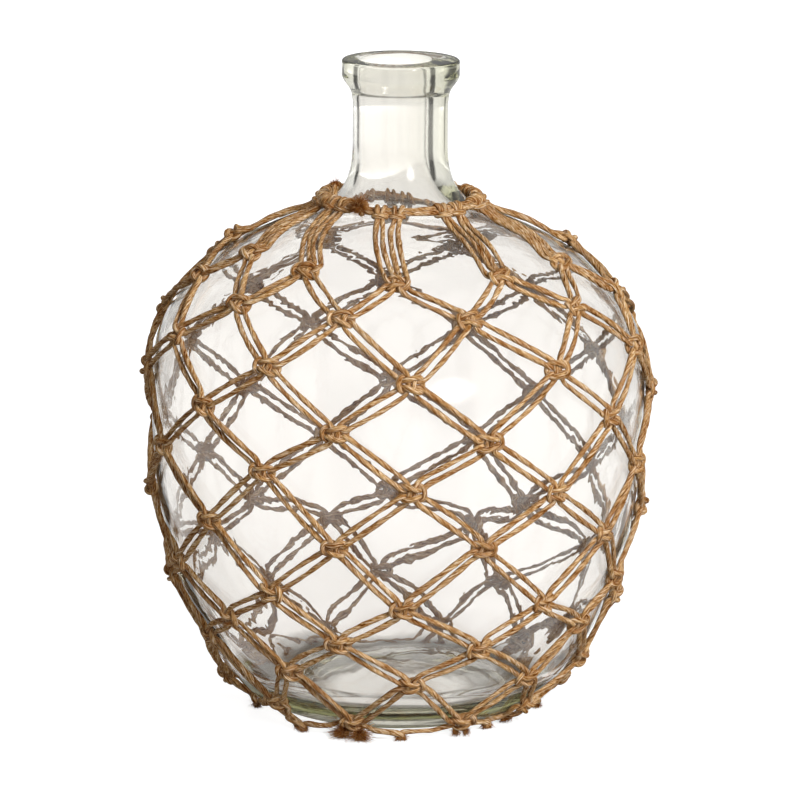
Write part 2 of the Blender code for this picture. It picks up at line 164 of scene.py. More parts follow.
# How far a cord's middle is off the glass where it lies on it and where it crosses another, and the
# least height off the floor
LOW = SKIN_WIDTH / 2 + 0.0001
CROSSING_LIFT = 0.0029
MIDDLE = LOW + CROSSING_LIFT
RING_OUT = LOW + CROSSING_LIFT
FLOOR_CLEAR = 0.0021

# Drawing a knot tight: the step between its points in metres, how strongly strands pull straight and
# crowded points push apart, how often they push in a round, and how many rounds go by before the points
# are spaced again. A strand may touch itself again this far along, in cord widths. Pressed cords are
# thinner by a share.
KNOT_STEP = 0.0009
KNOT_PULL = 0.35
KNOT_PUSH = 0.22
KNOT_PUSHES = 3
SPACED_AFTER = 20
OWN_REACH = 1.6
SQUARE_KNOT_ROUNDS = 240
FINISH_KNOT_ROUNDS = 60
HITCH_ROUNDS = 200
PRESSED_SHARE = 0.92
HITCH_PRESSED_SHARE = 0.88

# Round a knot, in metres: how far its strands reach while it is drawn tight and where they are then
# cut, the usual slope of the links, how far the two strands of a link lie from its middle, and how the
# strands hang from the ring
KNOT_REACH = 0.0135
KNOT_CUT = 0.0098
LINK_ANGLE = math.radians(42.0)
ENTRY_OFFSET = 0.0021
FILLER_END_SHARE = 0.6
LINK_POINTS = 12
HANG_SPACING = 0.0046
HANG_LIFT = 0.0012
HANG_RIGHTS = (-0.0070, -0.0019, 0.0019, 0.0070)
HITCH_LEG = 0.004
HITCH_RING_REACH = 0.02

# Where the knots are, as the solids have them: columns from the front, and height as a share
COLUMN_COUNT = 10
ROW_FIRST_COLUMNS = (-2, -2.5, -2, -2.5, -2, -2.5, -2, -2.5, -2, -1.5)
FRONT_KNOT_SHARES = (
    ((-1.72, 0.928), (-0.88, 0.920), (-0.02, 0.910), (0.93, 0.912), (1.79, 0.915)),
    ((-2.11, 0.876), (-1.30, 0.857), (-0.41, 0.854), (0.51, 0.852), (1.46, 0.851), (2.26, 0.848)),
    ((-1.79, 0.779), (-0.86, 0.761), (0.08, 0.745), (1.07, 0.752), (1.97, 0.754)),
    ((-2.25, 0.687), (-1.34, 0.667), (-0.38, 0.649), (0.56, 0.630), (1.53, 0.640), (2.41, 0.641)),
    ((-1.84, 0.558), (-0.86, 0.560), (0.09, 0.538), (1.05, 0.515), (1.94, 0.523)),
    ((-2.38, 0.438), (-1.32, 0.441), (-0.39, 0.423), (0.55, 0.421), (1.55, 0.407), (2.37, 0.406)),
    ((-1.81, 0.326), (-0.87, 0.315), (0.04, 0.301), (1.06, 0.289), (1.91, 0.292)),
    ((-2.20, 0.270), (-1.31, 0.239), (-0.41, 0.221), (0.61, 0.207), (1.52, 0.220), (2.15, 0.238)),
    ((-1.71, 0.175), (-0.86, 0.144), (0.12, 0.132), (1.14, 0.121), (2.00, 0.116)),
    ((-1.20, 0.059), (-0.41, 0.035), (0.66, 0.033), (1.41, 0.044)),
)

# The neck ring: its height above the flare's foot, the columns of its hitches and of its two ends, its
# turns, and the step from one to the next
RING_RISE = 0.01423
RING_FIRST_COLUMN = -2
RING_TURN_SHARES = (-2.20, -1.42, -0.20, 1.04, 2.15)
RING_START_SHARE = -0.68
RING_END_SHARE = -1.68
RING_TURNS = 2
RING_STEP = 1.12 * CORD
RING_POINTS = 241

# Each end of the ring is wrapped once and a half round both turns: right, up and out, in cord widths.
# It starts a little to the side, and then turns out by listed cord widths.
WRAP_TURNS = 1.5
WRAP_SHARES = (1.5, 1.5, 1.05)
WRAP_START = 0.001
WRAP_POINTS = 40
BRUSH_END_SHARES = ((-0.3, 1.7, 0.6), (0.1, 1.5, 1.5), (0.5, 0.5, 2.1), (0.8, -0.7, 2.3))
UPRIGHT_END_SHARES = ((-0.3, 1.8, 0.3), (-0.9, 2.9, 1.0), (-1.2, 4.3, 1.5))

# Beside the heel, in metres: how far out from it the finishing knots and the cut ends lie and how high,
# and how one cut end differs from the next
FINISH_FIRST_COLUMN = -1
FINISH_TURN_SHARES = (-0.97, 0.05)
FINISH_REACH = 0.0115
FINISH_HEIGHT = 0.0048
FINISH_TALL_SHARE = 0.8
RUN_SAG = 0.001
TAIL_REACH = 0.0121
TAIL_HEIGHT = 0.0032
TAIL_REACH_SPREAD = (-0.001, 0.002)
TAIL_TURN_SPREAD = 0.012
TAIL_BEND = 0.003
TAIL_POINTS = 10

# The doubled columns of the ends that the photograph shows lying out from the foot. All the others
# lie close to the heel.
FRONT_END_COLUMNS = (17, 18, 19, 0, 1)
CLOSE_REACH = 0.0036

# The brushes of fibres at the cut ends: reach, number of fibres and how far they fan out. The
# two ends at the front left have opened into a wide skirt.
CUT_TUFT = (0.0045, 220, 0.5)
SKIRT_TUFT = (0.0115, 900, 0.7)
SKIRT_COLUMN = 2 * COLUMN_COUNT - 1
RING_BRUSH_TUFT = (0.0068, 1600, 0.8)
RING_UPRIGHT_TUFT = (0.0045, 260, 0.35)

# How far round the bottle, in radians, the two cut ends of some last knots turn on their way down
TAIL_TURNS = {SKIRT_COLUMN: (-0.032, 0.032), SKIRT_COLUMN - 2: (0.10, 0.12)}

# The upper half of the front worker's way through a square knot, in cord widths from the knot's
# middle: right, up, and out from the two fillers
WORKER_SHARES = (
    (-2.6, 1.35, -0.9), (-1.75, 0.85, -0.9), (-1.25, 0.55, -0.3), (-0.95, 0.5, 0.6), (-0.4, 0.5, 0.95),
    (0.5, 0.55, 0.95), (1.2, 0.95, 0.65), (1.9, 1.1, 0.0), (2.4, 0.6, -0.25), (2.6, 0.0, -0.3),
)
FILLER_SHARES = ((0.5, 1.6, 0.0), (0.5, 0.0, 0.0), (0.5, -1.6, 0.0))

# The left half of a hitch: up behind the bar and over the ring, down behind it and out to the bar,
# in cord widths from the ring's middle
HITCH_SHARES = (
    (-0.55, -2.4, -0.8), (-0.53, -1.4, 0.05), (-0.53, -0.65, 1.0), (-0.53, 0.6, 1.05), (-0.56, 1.45, 0.45),
    (-0.7, 1.6, -0.3), (-0.95, 0.9, -0.95), (-1.1, -0.5, -0.95), (-1.2, -1.4, -0.6), (-1.2, -2.1, 0.1),
    (-0.8, -2.2, 0.65), (0.0, -2.2, 0.85),
)

# One strand's way through a finishing knot, in cord widths: across in front, round behind, and down
FINISH_SHARES = (
    (-4.2, 0.5, 0.0), (-1.7, 0.45, 0.1), (-0.6, 0.35, 0.7), (0.4, 0.0, 0.7), (0.95, -0.5, 0.1),
    (0.5, -1.0, -0.6), (-0.1, -1.15, -0.35), (-0.45, -1.7, 0.0),
)

# How a knot turns to its links: wholly, but in the first row, whose strands hang from the ring, by this
# share
FIRST_ROW_TURN_SHARE = 0.5

# How one knot differs from the next: how often it is tied the other way, its width and height as
# shares, its tilt in radians and how far it stands out, as a share. And how far a link bows, in metres.
OTHER_HAND_CHANCE = 0.3
KNOT_WIDE_SHARES = (1.0, 1.14)
KNOT_TALL_SHARES = (0.94, 1.1)
KNOT_TILT = 0.06
KNOT_OUT_SHARES = (0.92, 1.02)
HANG_BOW = 0.0006
LINK_BOW = 0.0009

# Loose fibres: how many on a metre of cord, their lengths and widths in metres, how much they lean
# along the cord and scatter, how they curl back, and how deep they are rooted, as a share of the cord
LOOSE_PER_METRE = 110
LOOSE_LENGTHS = (0.0009, 0.0032)
LOOSE_WIDTHS = (0.00007, 0.00014)
LOOSE_LEAN = 0.9
LOOSE_SPREAD = 0.25
LOOSE_CURL = 0.35
LOOSE_CURL_SPREAD = 0.3
LOOSE_ROOT_SHARE = 0.4

# The fibres of a cut end: their lengths as shares of their brush's reach, their widths, how they curl,
# and how they are rooted. They leave the cord the way that its last points run.
CUT_LENGTH_SHARES = (0.5, 1.0)
CUT_WIDTHS = (0.0002, 0.0004)
CUT_CURL = 0.35
CUT_ROOT_SHARE = 0.22
CUT_ROOT_DEPTH = 0.0015
CUT_WAY_POINTS = 6

# Each fibre: its sides, where its rings are, how much it has thinned at its tip, its least height, how
# far its colour may lie in the UV map, and a way that no fibre runs, to turn its sides from
FIBRE_SIDES = 3
FIBRE_RING_SHARES = (0.0, 0.4, 0.75)
FIBRE_THINNING = 0.6
FIBRE_FLOOR_CLEAR = 0.0002
FIBRE_UV_REACH = 3.0
FIBRE_ASIDE = (0.31, 0.17, 0.23)

# All chance comes from this one seeded source, so each run gives the same result
dice = np.random.default_rng(11)


def noise_waves(count, shortest, longest):
    """Random plane waves in space: directions, wave numbers, phases. Lengths are spread evenly."""
    ways = dice.normal(size=(count, 3))
    ways /= np.linalg.norm(ways, axis=1)[:, None]
    length = np.exp(dice.uniform(math.log(shortest), math.log(longest), count))
    return ways * (2.0 * math.pi / length)[:, None], length, dice.uniform(0.0, 2.0 * math.pi, count)


def wave_height(points, waves, slope):
    """Sum of the waves at each point, each as high as gives it the same slope."""
    ways, length, phase = waves
    height = slope * length / (2.0 * math.pi)
    return (np.sin(points @ ways.T + phase) * height).sum(axis=1) / math.sqrt(len(length) / 2.0)


def heel_outline(count):
    """Radius foot + (belly - foot)(1 - (1 - s)^a)^b at height belly height times s."""
    bulge, round_in = HEEL_POWER_SHARES
    share = np.linspace(0.0, 1.0, count) ** HEEL_STEP_SHARE
    radius = FOOT_RADIUS + (BELLY_RADIUS - FOOT_RADIUS) * (1.0 - (1.0 - share) ** bulge) ** round_in
    return np.stack([radius, BELLY_HEIGHT * share], axis=1)


def shoulder_outline(count):
    """Radius neck + (belly - neck)(1 - s^a)^b from the belly up to the neck's flare."""
    bulge, round_in = SHOULDER_POWER_SHARES
    share = FLARE_START_SHARE * np.linspace(0.0, 1.0, count) ** SHOULDER_STEP_SHARE
    radius = NECK_RADIUS + (BELLY_RADIUS - NECK_RADIUS) * (1.0 - share ** bulge) ** round_in
    return np.stack([radius, BELLY_HEIGHT + SHOULDER_HEIGHT * share], axis=1)


def bend(start, along, end, turned, count):
    """A cubic curve from start, leaving along one arrow and arriving along another."""
    step = np.linspace(0.0, 1.0, count)[:, None]
    rest = 1.0 - step
    first, second = start + along, end - turned
    return rest ** 3 * start + 3 * rest ** 2 * step * first + 3 * rest * step ** 2 * second + step ** 3 * end


def outer_outline():
    """Heel, shoulder and the neck's flare as one line of radius and height. The flare leaves along the
    shoulder and arrives upright."""
    heel_count, shoulder_count, flare_count = OUTLINE_POINTS
    heel, shoulder = heel_outline(heel_count), shoulder_outline(shoulder_count)
    along = (shoulder[-1] - shoulder[-2]) / np.linalg.norm(shoulder[-1] - shoulder[-2])
    end, upright = np.array([NECK_RADIUS, FLARE_TOP]), np.array([0.0, NECK_FLARE_REACH])
    flare = bend(shoulder[-1], NECK_FLARE_REACH * along, end, upright, flare_count)
    return np.concatenate([heel, shoulder[1:], flare[1:]])


def outline_normals(outline):
    """The outward direction at each point of an outline that runs upward."""
    along = np.gradient(outline, axis=0)
    across = np.stack([along[:, 1], -along[:, 0]], axis=1)
    return across / np.linalg.norm(across, axis=1)[:, None]


def walked_length(points):
    """Length walked along a path up to each of its points."""
    return np.concatenate([[0.0], np.cumsum(np.linalg.norm(np.diff(points, axis=0), axis=1))])


def resampled(points, step):
    """The same path with points evenly spaced along it, about one step apart."""
    length = walked_length(points)
    count = max(int(round(length[-1] / step)), 2) + 1
    along = np.linspace(0.0, length[-1], count)
    return np.stack([np.interp(along, length, points[:, axis]) for axis in range(points.shape[1])], axis=1)


def smoothed(points, rounds):
    """Each inner point moves half way to the middle of its neighbours, some times over."""
    points = points.copy()
    for turn in range(rounds):
        points[1:-1] = 0.5 * points[1:-1] + 0.25 * (points[:-2] + points[2:])
    return points


def corner(start, middle, end, count):
    """A rounded corner: the curve of second order that starts and ends along the corner's sides."""
    step = np.linspace(0.0, 1.0, count)[:, None]
    start, middle, end = (np.array(point) for point in (start, middle, end))
    return (1 - step) ** 2 * start + 2 * step * (1 - step) * middle + step ** 2 * end


class Glass:
    """The bottle's outside as a surface: round it by angle, up it by length walked."""

    def __init__(self):
        """Keeps the outline, its outward directions and the length walked to each of its points."""
        self.outline = outer_outline()
        self.across = outline_normals(self.outline)
        self.walked = walked_length(self.outline)

    def radius(self, walked):
        """The outside's radius at a length walked."""
        return np.interp(walked, self.walked, self.outline[:, 0])

    def walked_at(self, height, off):
        """Length walked up to where a point that far off the glass has this height."""
        return np.interp(height, self.outline[:, 1] + off * self.across[:, 1], self.walked)

    def place(self, angle, walked, off):
        """Points off the glass, for whole arrays: the outline's point plus off times its normal."""
        radius, height = (np.interp(walked, self.walked, self.outline[:, axis]) for axis in range(2))
        out, rise = (np.interp(walked, self.walked, self.across[:, axis]) for axis in range(2))
        reach = radius + off * out
        return np.stack([reach * np.sin(angle), -reach * np.cos(angle), height + off * rise], axis=1)


def turned_surface(outline, segments, waves):
    """Turns a closed outline about the upright axis. Both poles become single points. Each point
    then moves in and out by the waves, where its own share of them says so, and to one side."""
    angle = np.linspace(0.0, 2.0 * math.pi, segments, endpoint=False)
    profile, wavy, shift = outline[:, :2], outline[:, 2], outline[:, 3]
    ring = np.stack([np.sin(angle), -np.cos(angle)], axis=1)
    verts = np.empty((len(profile), segments, 3))
    verts[:, :, :2] = profile[:, None, :1] * ring[None]
    verts[:, :, 2] = profile[:, None, 1]
    across = outline_normals(profile)
    normals = np.empty_like(verts)
    normals[:, :, :2] = across[:, None, :1] * ring[None]
    normals[:, :, 2] = across[:, None, 1]
    lift = waves(verts.reshape(-1, 3)).reshape(verts.shape[:2]) * wavy[:, None]
    verts += normals * lift[:, :, None]
    verts[:, :, 0] += shift[:, None]
    verts = verts.reshape(-1, 3)
    row, step = np.meshgrid(np.arange(len(profile) - 1), np.arange(segments), indexing="ij")
    here, turn = row * segments + step, row * segments + (step + 1) % segments
    quads = np.stack([here, turn, turn + segments, here + segments], axis=2).reshape(-1, 4)
    first, last = len(verts), len(verts) + 1
    verts = np.vstack([verts, [0.0, 0.0, profile[0, 1]], [0.0, 0.0, profile[-1, 1]]])
    steps = np.arange(segments)
    after = (steps + 1) % segments
    base = (len(profile) - 1) * segments
    caps = [np.stack([np.full(segments, first), after, steps], axis=1),
            np.stack([base + steps, base + after, np.full(segments, last)], axis=1)]
    return verts, quads.tolist() + np.concatenate(caps).tolist()


def mesh_piece(name, verts, faces, materials, smooth=True):
    """A mesh object at the origin, with its place in its mesh."""
    mesh = bpy.data.meshes.new(name)
    mesh.from_pydata(np.asarray(verts).tolist(), [], faces)
    mesh.update()
    if smooth:
        mesh.shade_smooth()
    for material in materials:
        mesh.materials.append(material)
    piece = bpy.data.objects.new(name, mesh)
    bpy.context.scene.collection.objects.link(piece)
    return piece


def with_waves(points, share, shift=0.0):
    """The points of an outline with each one's share of the glass's waves and its shift to a side."""
    points = np.array(points, float)
    share, shift = (np.broadcast_to(value, len(points)) for value in (share, shift))
    return np.column_stack([points, share, shift])


def rim_outline():
    """The neck's top, the slant under the rim, and the rim's band with its corners rounded. The bore
    lies a little to the left of the rim, as it was blown."""
    slant_foot = (NECK_TOP_RADIUS, BAND_FOOT - RIM_SLANT)
    band_foot, band_top = (RIM_RADIUS, BAND_FOOT), (RIM_RADIUS, TOTAL_HEIGHT)
    lip = (BORE_RADIUS, TOTAL_HEIGHT)
    middle = ((NECK_TOP_RADIUS + RIM_RADIUS) / 2, BAND_FOOT - RIM_SLANT / 2)
    in_share, down_share = UNDER_RIM_SHARES
    below = (NECK_RADIUS + in_share * (NECK_TOP_RADIUS - NECK_RADIUS), BAND_FOOT - down_share * RIM_SLANT)
    ends = RIM_ROUND
    outer = np.concatenate([
        corner(below, slant_foot, middle, RIM_POINTS),
        corner(middle, band_foot, (RIM_RADIUS, BAND_FOOT + ends), RIM_POINTS)[1:],
        corner((RIM_RADIUS, TOTAL_HEIGHT - ends), band_top, (RIM_RADIUS - ends, TOTAL_HEIGHT), RIM_POINTS),
    ])
    mouth_top = (BORE_RADIUS + MOUTH_ROUND, TOTAL_HEIGHT)
    mouth = corner(mouth_top, lip, (BORE_RADIUS, TOTAL_HEIGHT - MOUTH_ROUND), RIM_POINTS)
    return np.concatenate([with_waves(outer, RIM_WAVE_SHARE), with_waves(mouth, RIM_WAVE_SHARE, BORE_SHIFT)])


def ripple_share(height):
    """How strong the glass's waves are at a height: 1 above, and growing evenly towards the foot."""
    share = np.clip((LOW_RIPPLE_TOP - height) / (LOW_RIPPLE_TOP - LOW_RIPPLE_FOOT), 0.0, 1.0)
    return 1.0 + LOW_RIPPLE_SHARE * share


def outside_outline(glass):
    """From the dome's top under the foot, out to the ring that it stands on, round the foot's edge and
    up the side to the neck's top. The underside has no waves."""
    dome = np.linspace(0.0, 1.0, DOME_POINTS)[1:]
    ring = FOOT_RADIUS - FOOT_WIDTH
    punt = np.stack([ring * dome, PUNT_HEIGHT * (1.0 - dome ** 2)], axis=1)
    edge = glass.outline[FOOT_EDGE_POINT]
    foot = corner((ring, 0.0), (FOOT_RADIUS, 0.0), edge, FOOT_POINTS)[1:]
    side = resampled(glass.outline, OUTSIDE_STEP)
    side = side[side[:, 1] > edge[1] + FOOT_EDGE_GAP]
    neck_top = (NECK_RADIUS, BAND_FOOT - UNDER_RIM_SHARES[1] * RIM_SLANT)
    neck = np.linspace(side[-1], neck_top, NECK_POINTS)[1:-1]
    neck_share = np.clip((FLARE_TOP + CALM_RISE - side[:, 1]) / CALM_FADE, NECK_WAVE_SHARE, 1.0)
    foot_share = np.clip(side[:, 1] / CALM_FOOT_HEIGHT, 0.0, 1.0) * ripple_share(side[:, 1])
    return np.concatenate([
        with_waves(punt, 0.0), with_waves(foot, 0.0), with_waves(side, neck_share * foot_share),
        with_waves(neck, NECK_WAVE_SHARE)])


def inside_outline(glass):
    """From the mouth down the bore, and down the side a wall's thickness inside the glass, to the middle
    of the domed floor. The bore's shift to a side fades out as a smooth step down the flare."""
    inner = smoothed(glass.outline - WALL * glass.across, INSIDE_ROUNDS)
    floor = PUNT_HEIGHT + BASE_WALL
    inner = inner[(inner[:, 1] > floor + INSIDE_FOOT_HEIGHT) & (inner[:, 1] < FLARE_FOOT - WALL)]
    floor_edge = (FLOOR_RADIUS, WALL + BASE_WALL + FLOOR_EDGE_RISE)
    floor_corner = (inner[0][0] - FLOOR_CORNER_IN, FLOOR_CORNER_HEIGHT)
    heel = corner(floor_edge, floor_corner, inner[0], FOOT_POINTS)[:-1]
    share = np.linspace(1.0, 0.0, DOME_POINTS + 1)[:-1]
    floor_height = floor_edge[1] + (floor - floor_edge[1]) * (1 - share ** 2)
    inside_dome = np.stack([FLOOR_RADIUS * share, floor_height], axis=1)
    body = resampled(inner, INSIDE_STEP)
    throat = np.array([BORE_RADIUS, inner[-1][1] + BORE_FLARE_HEIGHT])
    leave = (inner[-1] - inner[-FLARE_WAY_POINTS]) / np.linalg.norm(inner[-1] - inner[-FLARE_WAY_POINTS])
    reach = np.array([0.0, BORE_FLARE_REACH])
    flare = bend(inner[-1], leave * BORE_FLARE_REACH, throat, reach, FLARE_POINTS)[1:]
    bore = np.linspace(throat, (BORE_RADIUS, TOTAL_HEIGHT - MOUTH_ROUND), BORE_POINTS)[1:-1]
    inside = np.concatenate([heel, body, flare, bore])[::-1]
    wave_share = np.clip((FLARE_TOP + CALM_RISE - inside[:, 1]) / CALM_FADE, BORE_WAVE_SHARE, 1.0)
    wave_share = wave_share * ripple_share(inside[:, 1])
    climbed = np.clip((inside[:, 1] - FLARE_FOOT) / (FLARE_TOP - FLARE_FOOT), 0.0, 1.0)
    shift = BORE_SHIFT * climbed ** 2 * (3.0 - 2.0 * climbed)
    return np.concatenate([with_waves(inside, wave_share, shift), with_waves(inside_dome[1:], 1.0)])


def bottle_outline(glass):
    """The whole outline, from the dome's top under the foot, up the outside, over the rim and down the
    inside to the floor's middle, as radius, height, share of the waves and shift to a side."""
    return np.concatenate([outside_outline(glass), rim_outline(), inside_outline(glass)])


def hex_colour(code):
    """An sRGB hex value as linear red, green, blue and alpha."""
    parts = np.array([int(code[index:index + 2], 16) / 255.0 for index in (1, 3, 5)])
    linear = np.where(parts <= 0.04045, parts / 12.92, ((parts + 0.055) / 1.055) ** 2.4)
    return tuple(float(part) for part in linear) + (1.0,)


def node(tree, kind, links=(), values=(), **settings):
    """Adds a node of a kind, sets its settings and input values, and links its inputs."""
    made = tree.nodes.new(kind)
    for key, value in settings.items():
        setattr(made, key, value)
    for key, value in dict(values).items():
        made.inputs[key].default_value = value
    for key, source in dict(links).items():
        tree.links.new(source, made.inputs[key])
    return made


def set_stops(made, stops):
    """Gives a colour ramp its stops, each a place and a colour, from the lowest to the highest."""
    elements = made.color_ramp.elements
    for index in (0, -1):
        elements[index].position, elements[index].color = stops[index]
    for place, colour in stops[1:-1]:
        elements.new(place).color = colour


def blank_material(name):
    """A material with an empty node tree but its output."""
    material = bpy.data.materials.new(name)
    material.use_nodes = True
    material.node_tree.nodes.clear()
    return material, node(material.node_tree, "ShaderNodeOutputMaterial")


def glass_material():
    """Soda lime glass, blown and fire polished: clear and smooth, with a trace of olive where it is
    thick and fine ripples all over. Lamps pass through it, so that what is behind it is lit."""
    material, output = blank_material("soda_lime_glass")
    tree = material.node_tree
    place = node(tree, "ShaderNodeTexCoord")
    ripples = node(tree, "ShaderNodeTexNoise", links={"Vector": place.outputs["Object"]},
                   values={"Scale": RIPPLES_PER_METRE, "Detail": 1.0, "Roughness": 0.5, "Distortion": 0.4})
    bump = node(tree, "ShaderNodeBump", links={"Height": ripples.outputs["Fac"]},
                values={"Strength": 1.0, "Distance": RIPPLE_DEPTH})
    surface = node(tree, "ShaderNodeBsdfPrincipled", links={"Normal": bump.outputs[0]}, values={
        "Base Color": hex_colour(GLASS_COLOUR), "Roughness": 0.0, "IOR": GLASS_IOR,
        "Transmission Weight": 0.98})
    clear = node(tree, "ShaderNodeBsdfTransparent", values={"Color": hex_colour(GLASS_SHADOW_COLOUR)})
    light = node(tree, "ShaderNodeLightPath")
    mixed = node(tree, "ShaderNodeMixShader", links={
        0: light.outputs["Is Shadow Ray"], 1: surface.outputs[0], 2: clear.outputs[0]})
    depth = node(tree, "ShaderNodeVolumeAbsorption",
                 values={"Color": hex_colour(GLASS_TINT), "Density": GLASS_TINT_DENSITY})
    tree.links.new(mixed.outputs[0], output.inputs["Surface"])
    tree.links.new(depth.outputs[0], output.inputs["Volume"])
    return material


def jute_material():
    """Raw jute, twisted in three plies: long dull golden fibres with darker and paler ones among
    them. The fibres run along the plies, so the pattern is stretched along the cord and turned with
    its twist. UV: u is metres along the cord, v is once round it."""
    material, output = blank_material("raw_jute_twine")
    tree = material.node_tree
    place = node(tree, "ShaderNodeUVMap", uv_map="cord")
    split = node(tree, "ShaderNodeSeparateXYZ", links={0: place.outputs[0]})
    twist = node(tree, "ShaderNodeMath", links={0: split.outputs[0], 2: split.outputs[1]},
                 values={1: -1.0 / TWIST}, operation="MULTIPLY_ADD")
    turn = node(tree, "ShaderNodeMath", links={0: twist.outputs[0]}, values={1: 2.0 * math.pi},
                operation="MULTIPLY")
    sine = node(tree, "ShaderNodeMath", links={0: turn.outputs[0]}, operation="SINE")
    cosine = node(tree, "ShaderNodeMath", links={0: turn.outputs[0]}, operation="COSINE")
    around = node(tree, "ShaderNodeCombineXYZ", links={
        0: split.outputs[0], 1: sine.outputs[0], 2: cosine.outputs[0]})

    def fibre_noise(scale, detail):
        """Noise with so many features in a metre of cord, and round it, as the scale says."""
        stretched = node(tree, "ShaderNodeMapping", links={0: around.outputs[0]}, values={"Scale": scale})
        return node(tree, "ShaderNodeTexNoise", links={"Vector": stretched.outputs[0]},
                    values={"Scale": 1.0, "Detail": detail, "Roughness": 0.65}).outputs["Fac"]

    fibres, flecks = fibre_noise(*FIBRE_PATTERN), fibre_noise(*FLECK_PATTERN)
    both = node(tree, "ShaderNodeMix", links={2: fibres, 3: flecks}, values={0: 0.4}).outputs[0]
    colours = node(tree, "ShaderNodeValToRGB", links={0: both})
    set_stops(colours, [(share, hex_colour(code)) for share, code in JUTE_COLOURS])
    tone = node(tree, "ShaderNodeValToRGB", links={0: fibre_noise(*TONE_PATTERN)})
    set_stops(tone, [(share, hex_colour(code)) for share, code in TONE_COLOURS])
    mixed = node(tree, "ShaderNodeMix", data_type="RGBA", blend_type="MULTIPLY", links={
        6: colours.outputs[0], 7: tone.outputs[0]}, values={0: 0.75})
    bump = node(tree, "ShaderNodeBump", links={"Height": both},
                values={"Strength": 0.6, "Distance": FIBRE_DEPTH})
    surface = node(tree, "ShaderNodeBsdfPrincipled", links={
        "Base Color": mixed.outputs[2], "Normal": bump.outputs[0]},
        values={"Roughness": 0.8, "Specular IOR Level": 0.10})
    tree.links.new(surface.outputs[0], output.inputs["Surface"])
    return material


def cut_jute_material():
    """Jute where it was cut and has opened into fibres: darker and redder, with some pale hairs. Each
    fibre has one colour, by its own place in the UV map."""
    material, output = blank_material("cut_jute_fibres")
    tree = material.node_tree
    place = node(tree, "ShaderNodeUVMap", uv_map="cord")
    chance = node(tree, "ShaderNodeTexWhiteNoise", noise_dimensions="2D", links={"Vector": place.outputs[0]})
    colours = node(tree, "ShaderNodeValToRGB", links={0: chance.outputs["Value"]})
    set_stops(colours, [(share, hex_colour(code)) for share, code in CUT_COLOURS])
    surface = node(tree, "ShaderNodeBsdfPrincipled", links={"Base Color": colours.outputs[0]},
                   values={"Roughness": 0.85, "Specular IOR Level": 0.2})
    tree.links.new(surface.outputs[0], output.inputs["Surface"])
    return material


def drawn_tight(strands, fixed, width, rounds):
    """Strands of one knot under tension: each point moves towards the middle of its neighbours, points
    of strands closer than a cord's width push each other apart, and none goes into the glass. The
    strands' ends and all fixed strands stay where they are."""
    strands = [resampled(np.array(strand, float), KNOT_STEP) for strand in strands]
    still = [resampled(np.array(strand, float), KNOT_STEP) for strand in fixed]
    for turn in range(rounds):
        if turn % SPACED_AFTER == 0:
            strands = [resampled(strand, KNOT_STEP) for strand in strands]
            everything = strands + still
            owner = np.concatenate([np.full(len(strand), index) for index, strand in enumerate(everything)])
            place = np.concatenate([np.arange(len(strand)) for strand in everything])
            apart = np.abs(place[:, None] - place[None]) * KNOT_STEP > OWN_REACH * width
            meets = (owner[:, None] != owner[None]) | apart
            moves = [np.concatenate([[0.0], np.ones(len(strand) - 2), [0.0]]) for strand in strands]
            free = np.concatenate(moves + [np.zeros(len(strand)) for strand in still])[:, None]
            cuts = np.cumsum([len(strand) for strand in strands])
        for strand in strands:
            strand[1:-1] += KNOT_PULL * (strand[:-2] + strand[2:] - 2.0 * strand[1:-1])
        points = np.concatenate(strands + still)
        for again in range(KNOT_PUSHES):
            gap = points[:, None] - points[None]
            distance = np.linalg.norm(gap, axis=2) + 1e-9
            push = np.where(meets, np.maximum(width - distance, 0.0), 0.0) / distance
            points = points + free * KNOT_PUSH * (push[:, :, None] * gap).sum(axis=1)
            points[:, 2] = np.maximum(points[:, 2], LOW)
        strands = [part.copy() for part in np.split(points, cuts)[:len(cuts)]]
    return strands


def link_end(side, worker, up):
    """Where a strand leaves a knot's surroundings for its link: workers outside, fillers inside."""
    beside = ENTRY_OFFSET * (1 if worker else -1)
    right = KNOT_REACH * math.cos(LINK_ANGLE) + beside * math.sin(LINK_ANGLE)
    rise = KNOT_REACH * math.sin(LINK_ANGLE) - beside * math.cos(LINK_ANGLE)
    return (side * right, up * rise, LOW)


def link_ends(up):
    """The ends above or below a knot: front worker, two fillers and back worker, from left to right."""
    return [link_end(side, worker, up) for side, worker in ((-1, 1), (-1, 0), (1, 0), (1, 1))]


def hanging_ends():
    """The upper ends of the first row's knots: four strands that come straight down from the ring."""
    return [(right, KNOT_REACH, LOW) for right in HANG_RIGHTS]


def cut_ends(up):
    """Lower ends of the last row: the workers go on, the two fillers end below the knot."""
    ends = link_ends(up)
    fillers = [(side * FILLER_END_SHARE * CORD, up * KNOT_REACH, MIDDLE) for side in (-1, 1)]
    return [ends[0], *fillers, ends[3]]


def square_knot(upper_ends, lower_ends):
    """The four strands of a square knot: front worker, two fillers, back worker. The back worker's way
    is the front one's, turned half round about the knot's upright."""
    half = np.array(WORKER_SHARES) * CORD
    way = np.concatenate([half, (half * (1, -1, 1))[::-1][1:]]) + (0.0, 0.0, MIDDLE)
    back = way * (-1, 1, -1) + (0.0, 0.0, 2 * MIDDLE)
    filler = np.array(FILLER_SHARES) * CORD + (0.0, 0.0, MIDDLE)
    middles = [way, filler * (-1, 1, 1), filler, back]
    strands = [np.concatenate([[upper], middle, [lower]])
               for upper, middle, lower in zip(upper_ends, middles, lower_ends)]
    return drawn_tight(strands, [], PRESSED_SHARE * CORD, SQUARE_KNOT_ROUNDS)


def turned_over(knot):
    """The same knot tied from the other side: left and right change places."""
    return [strand * (-1, 1, 1) for strand in knot[::-1]]


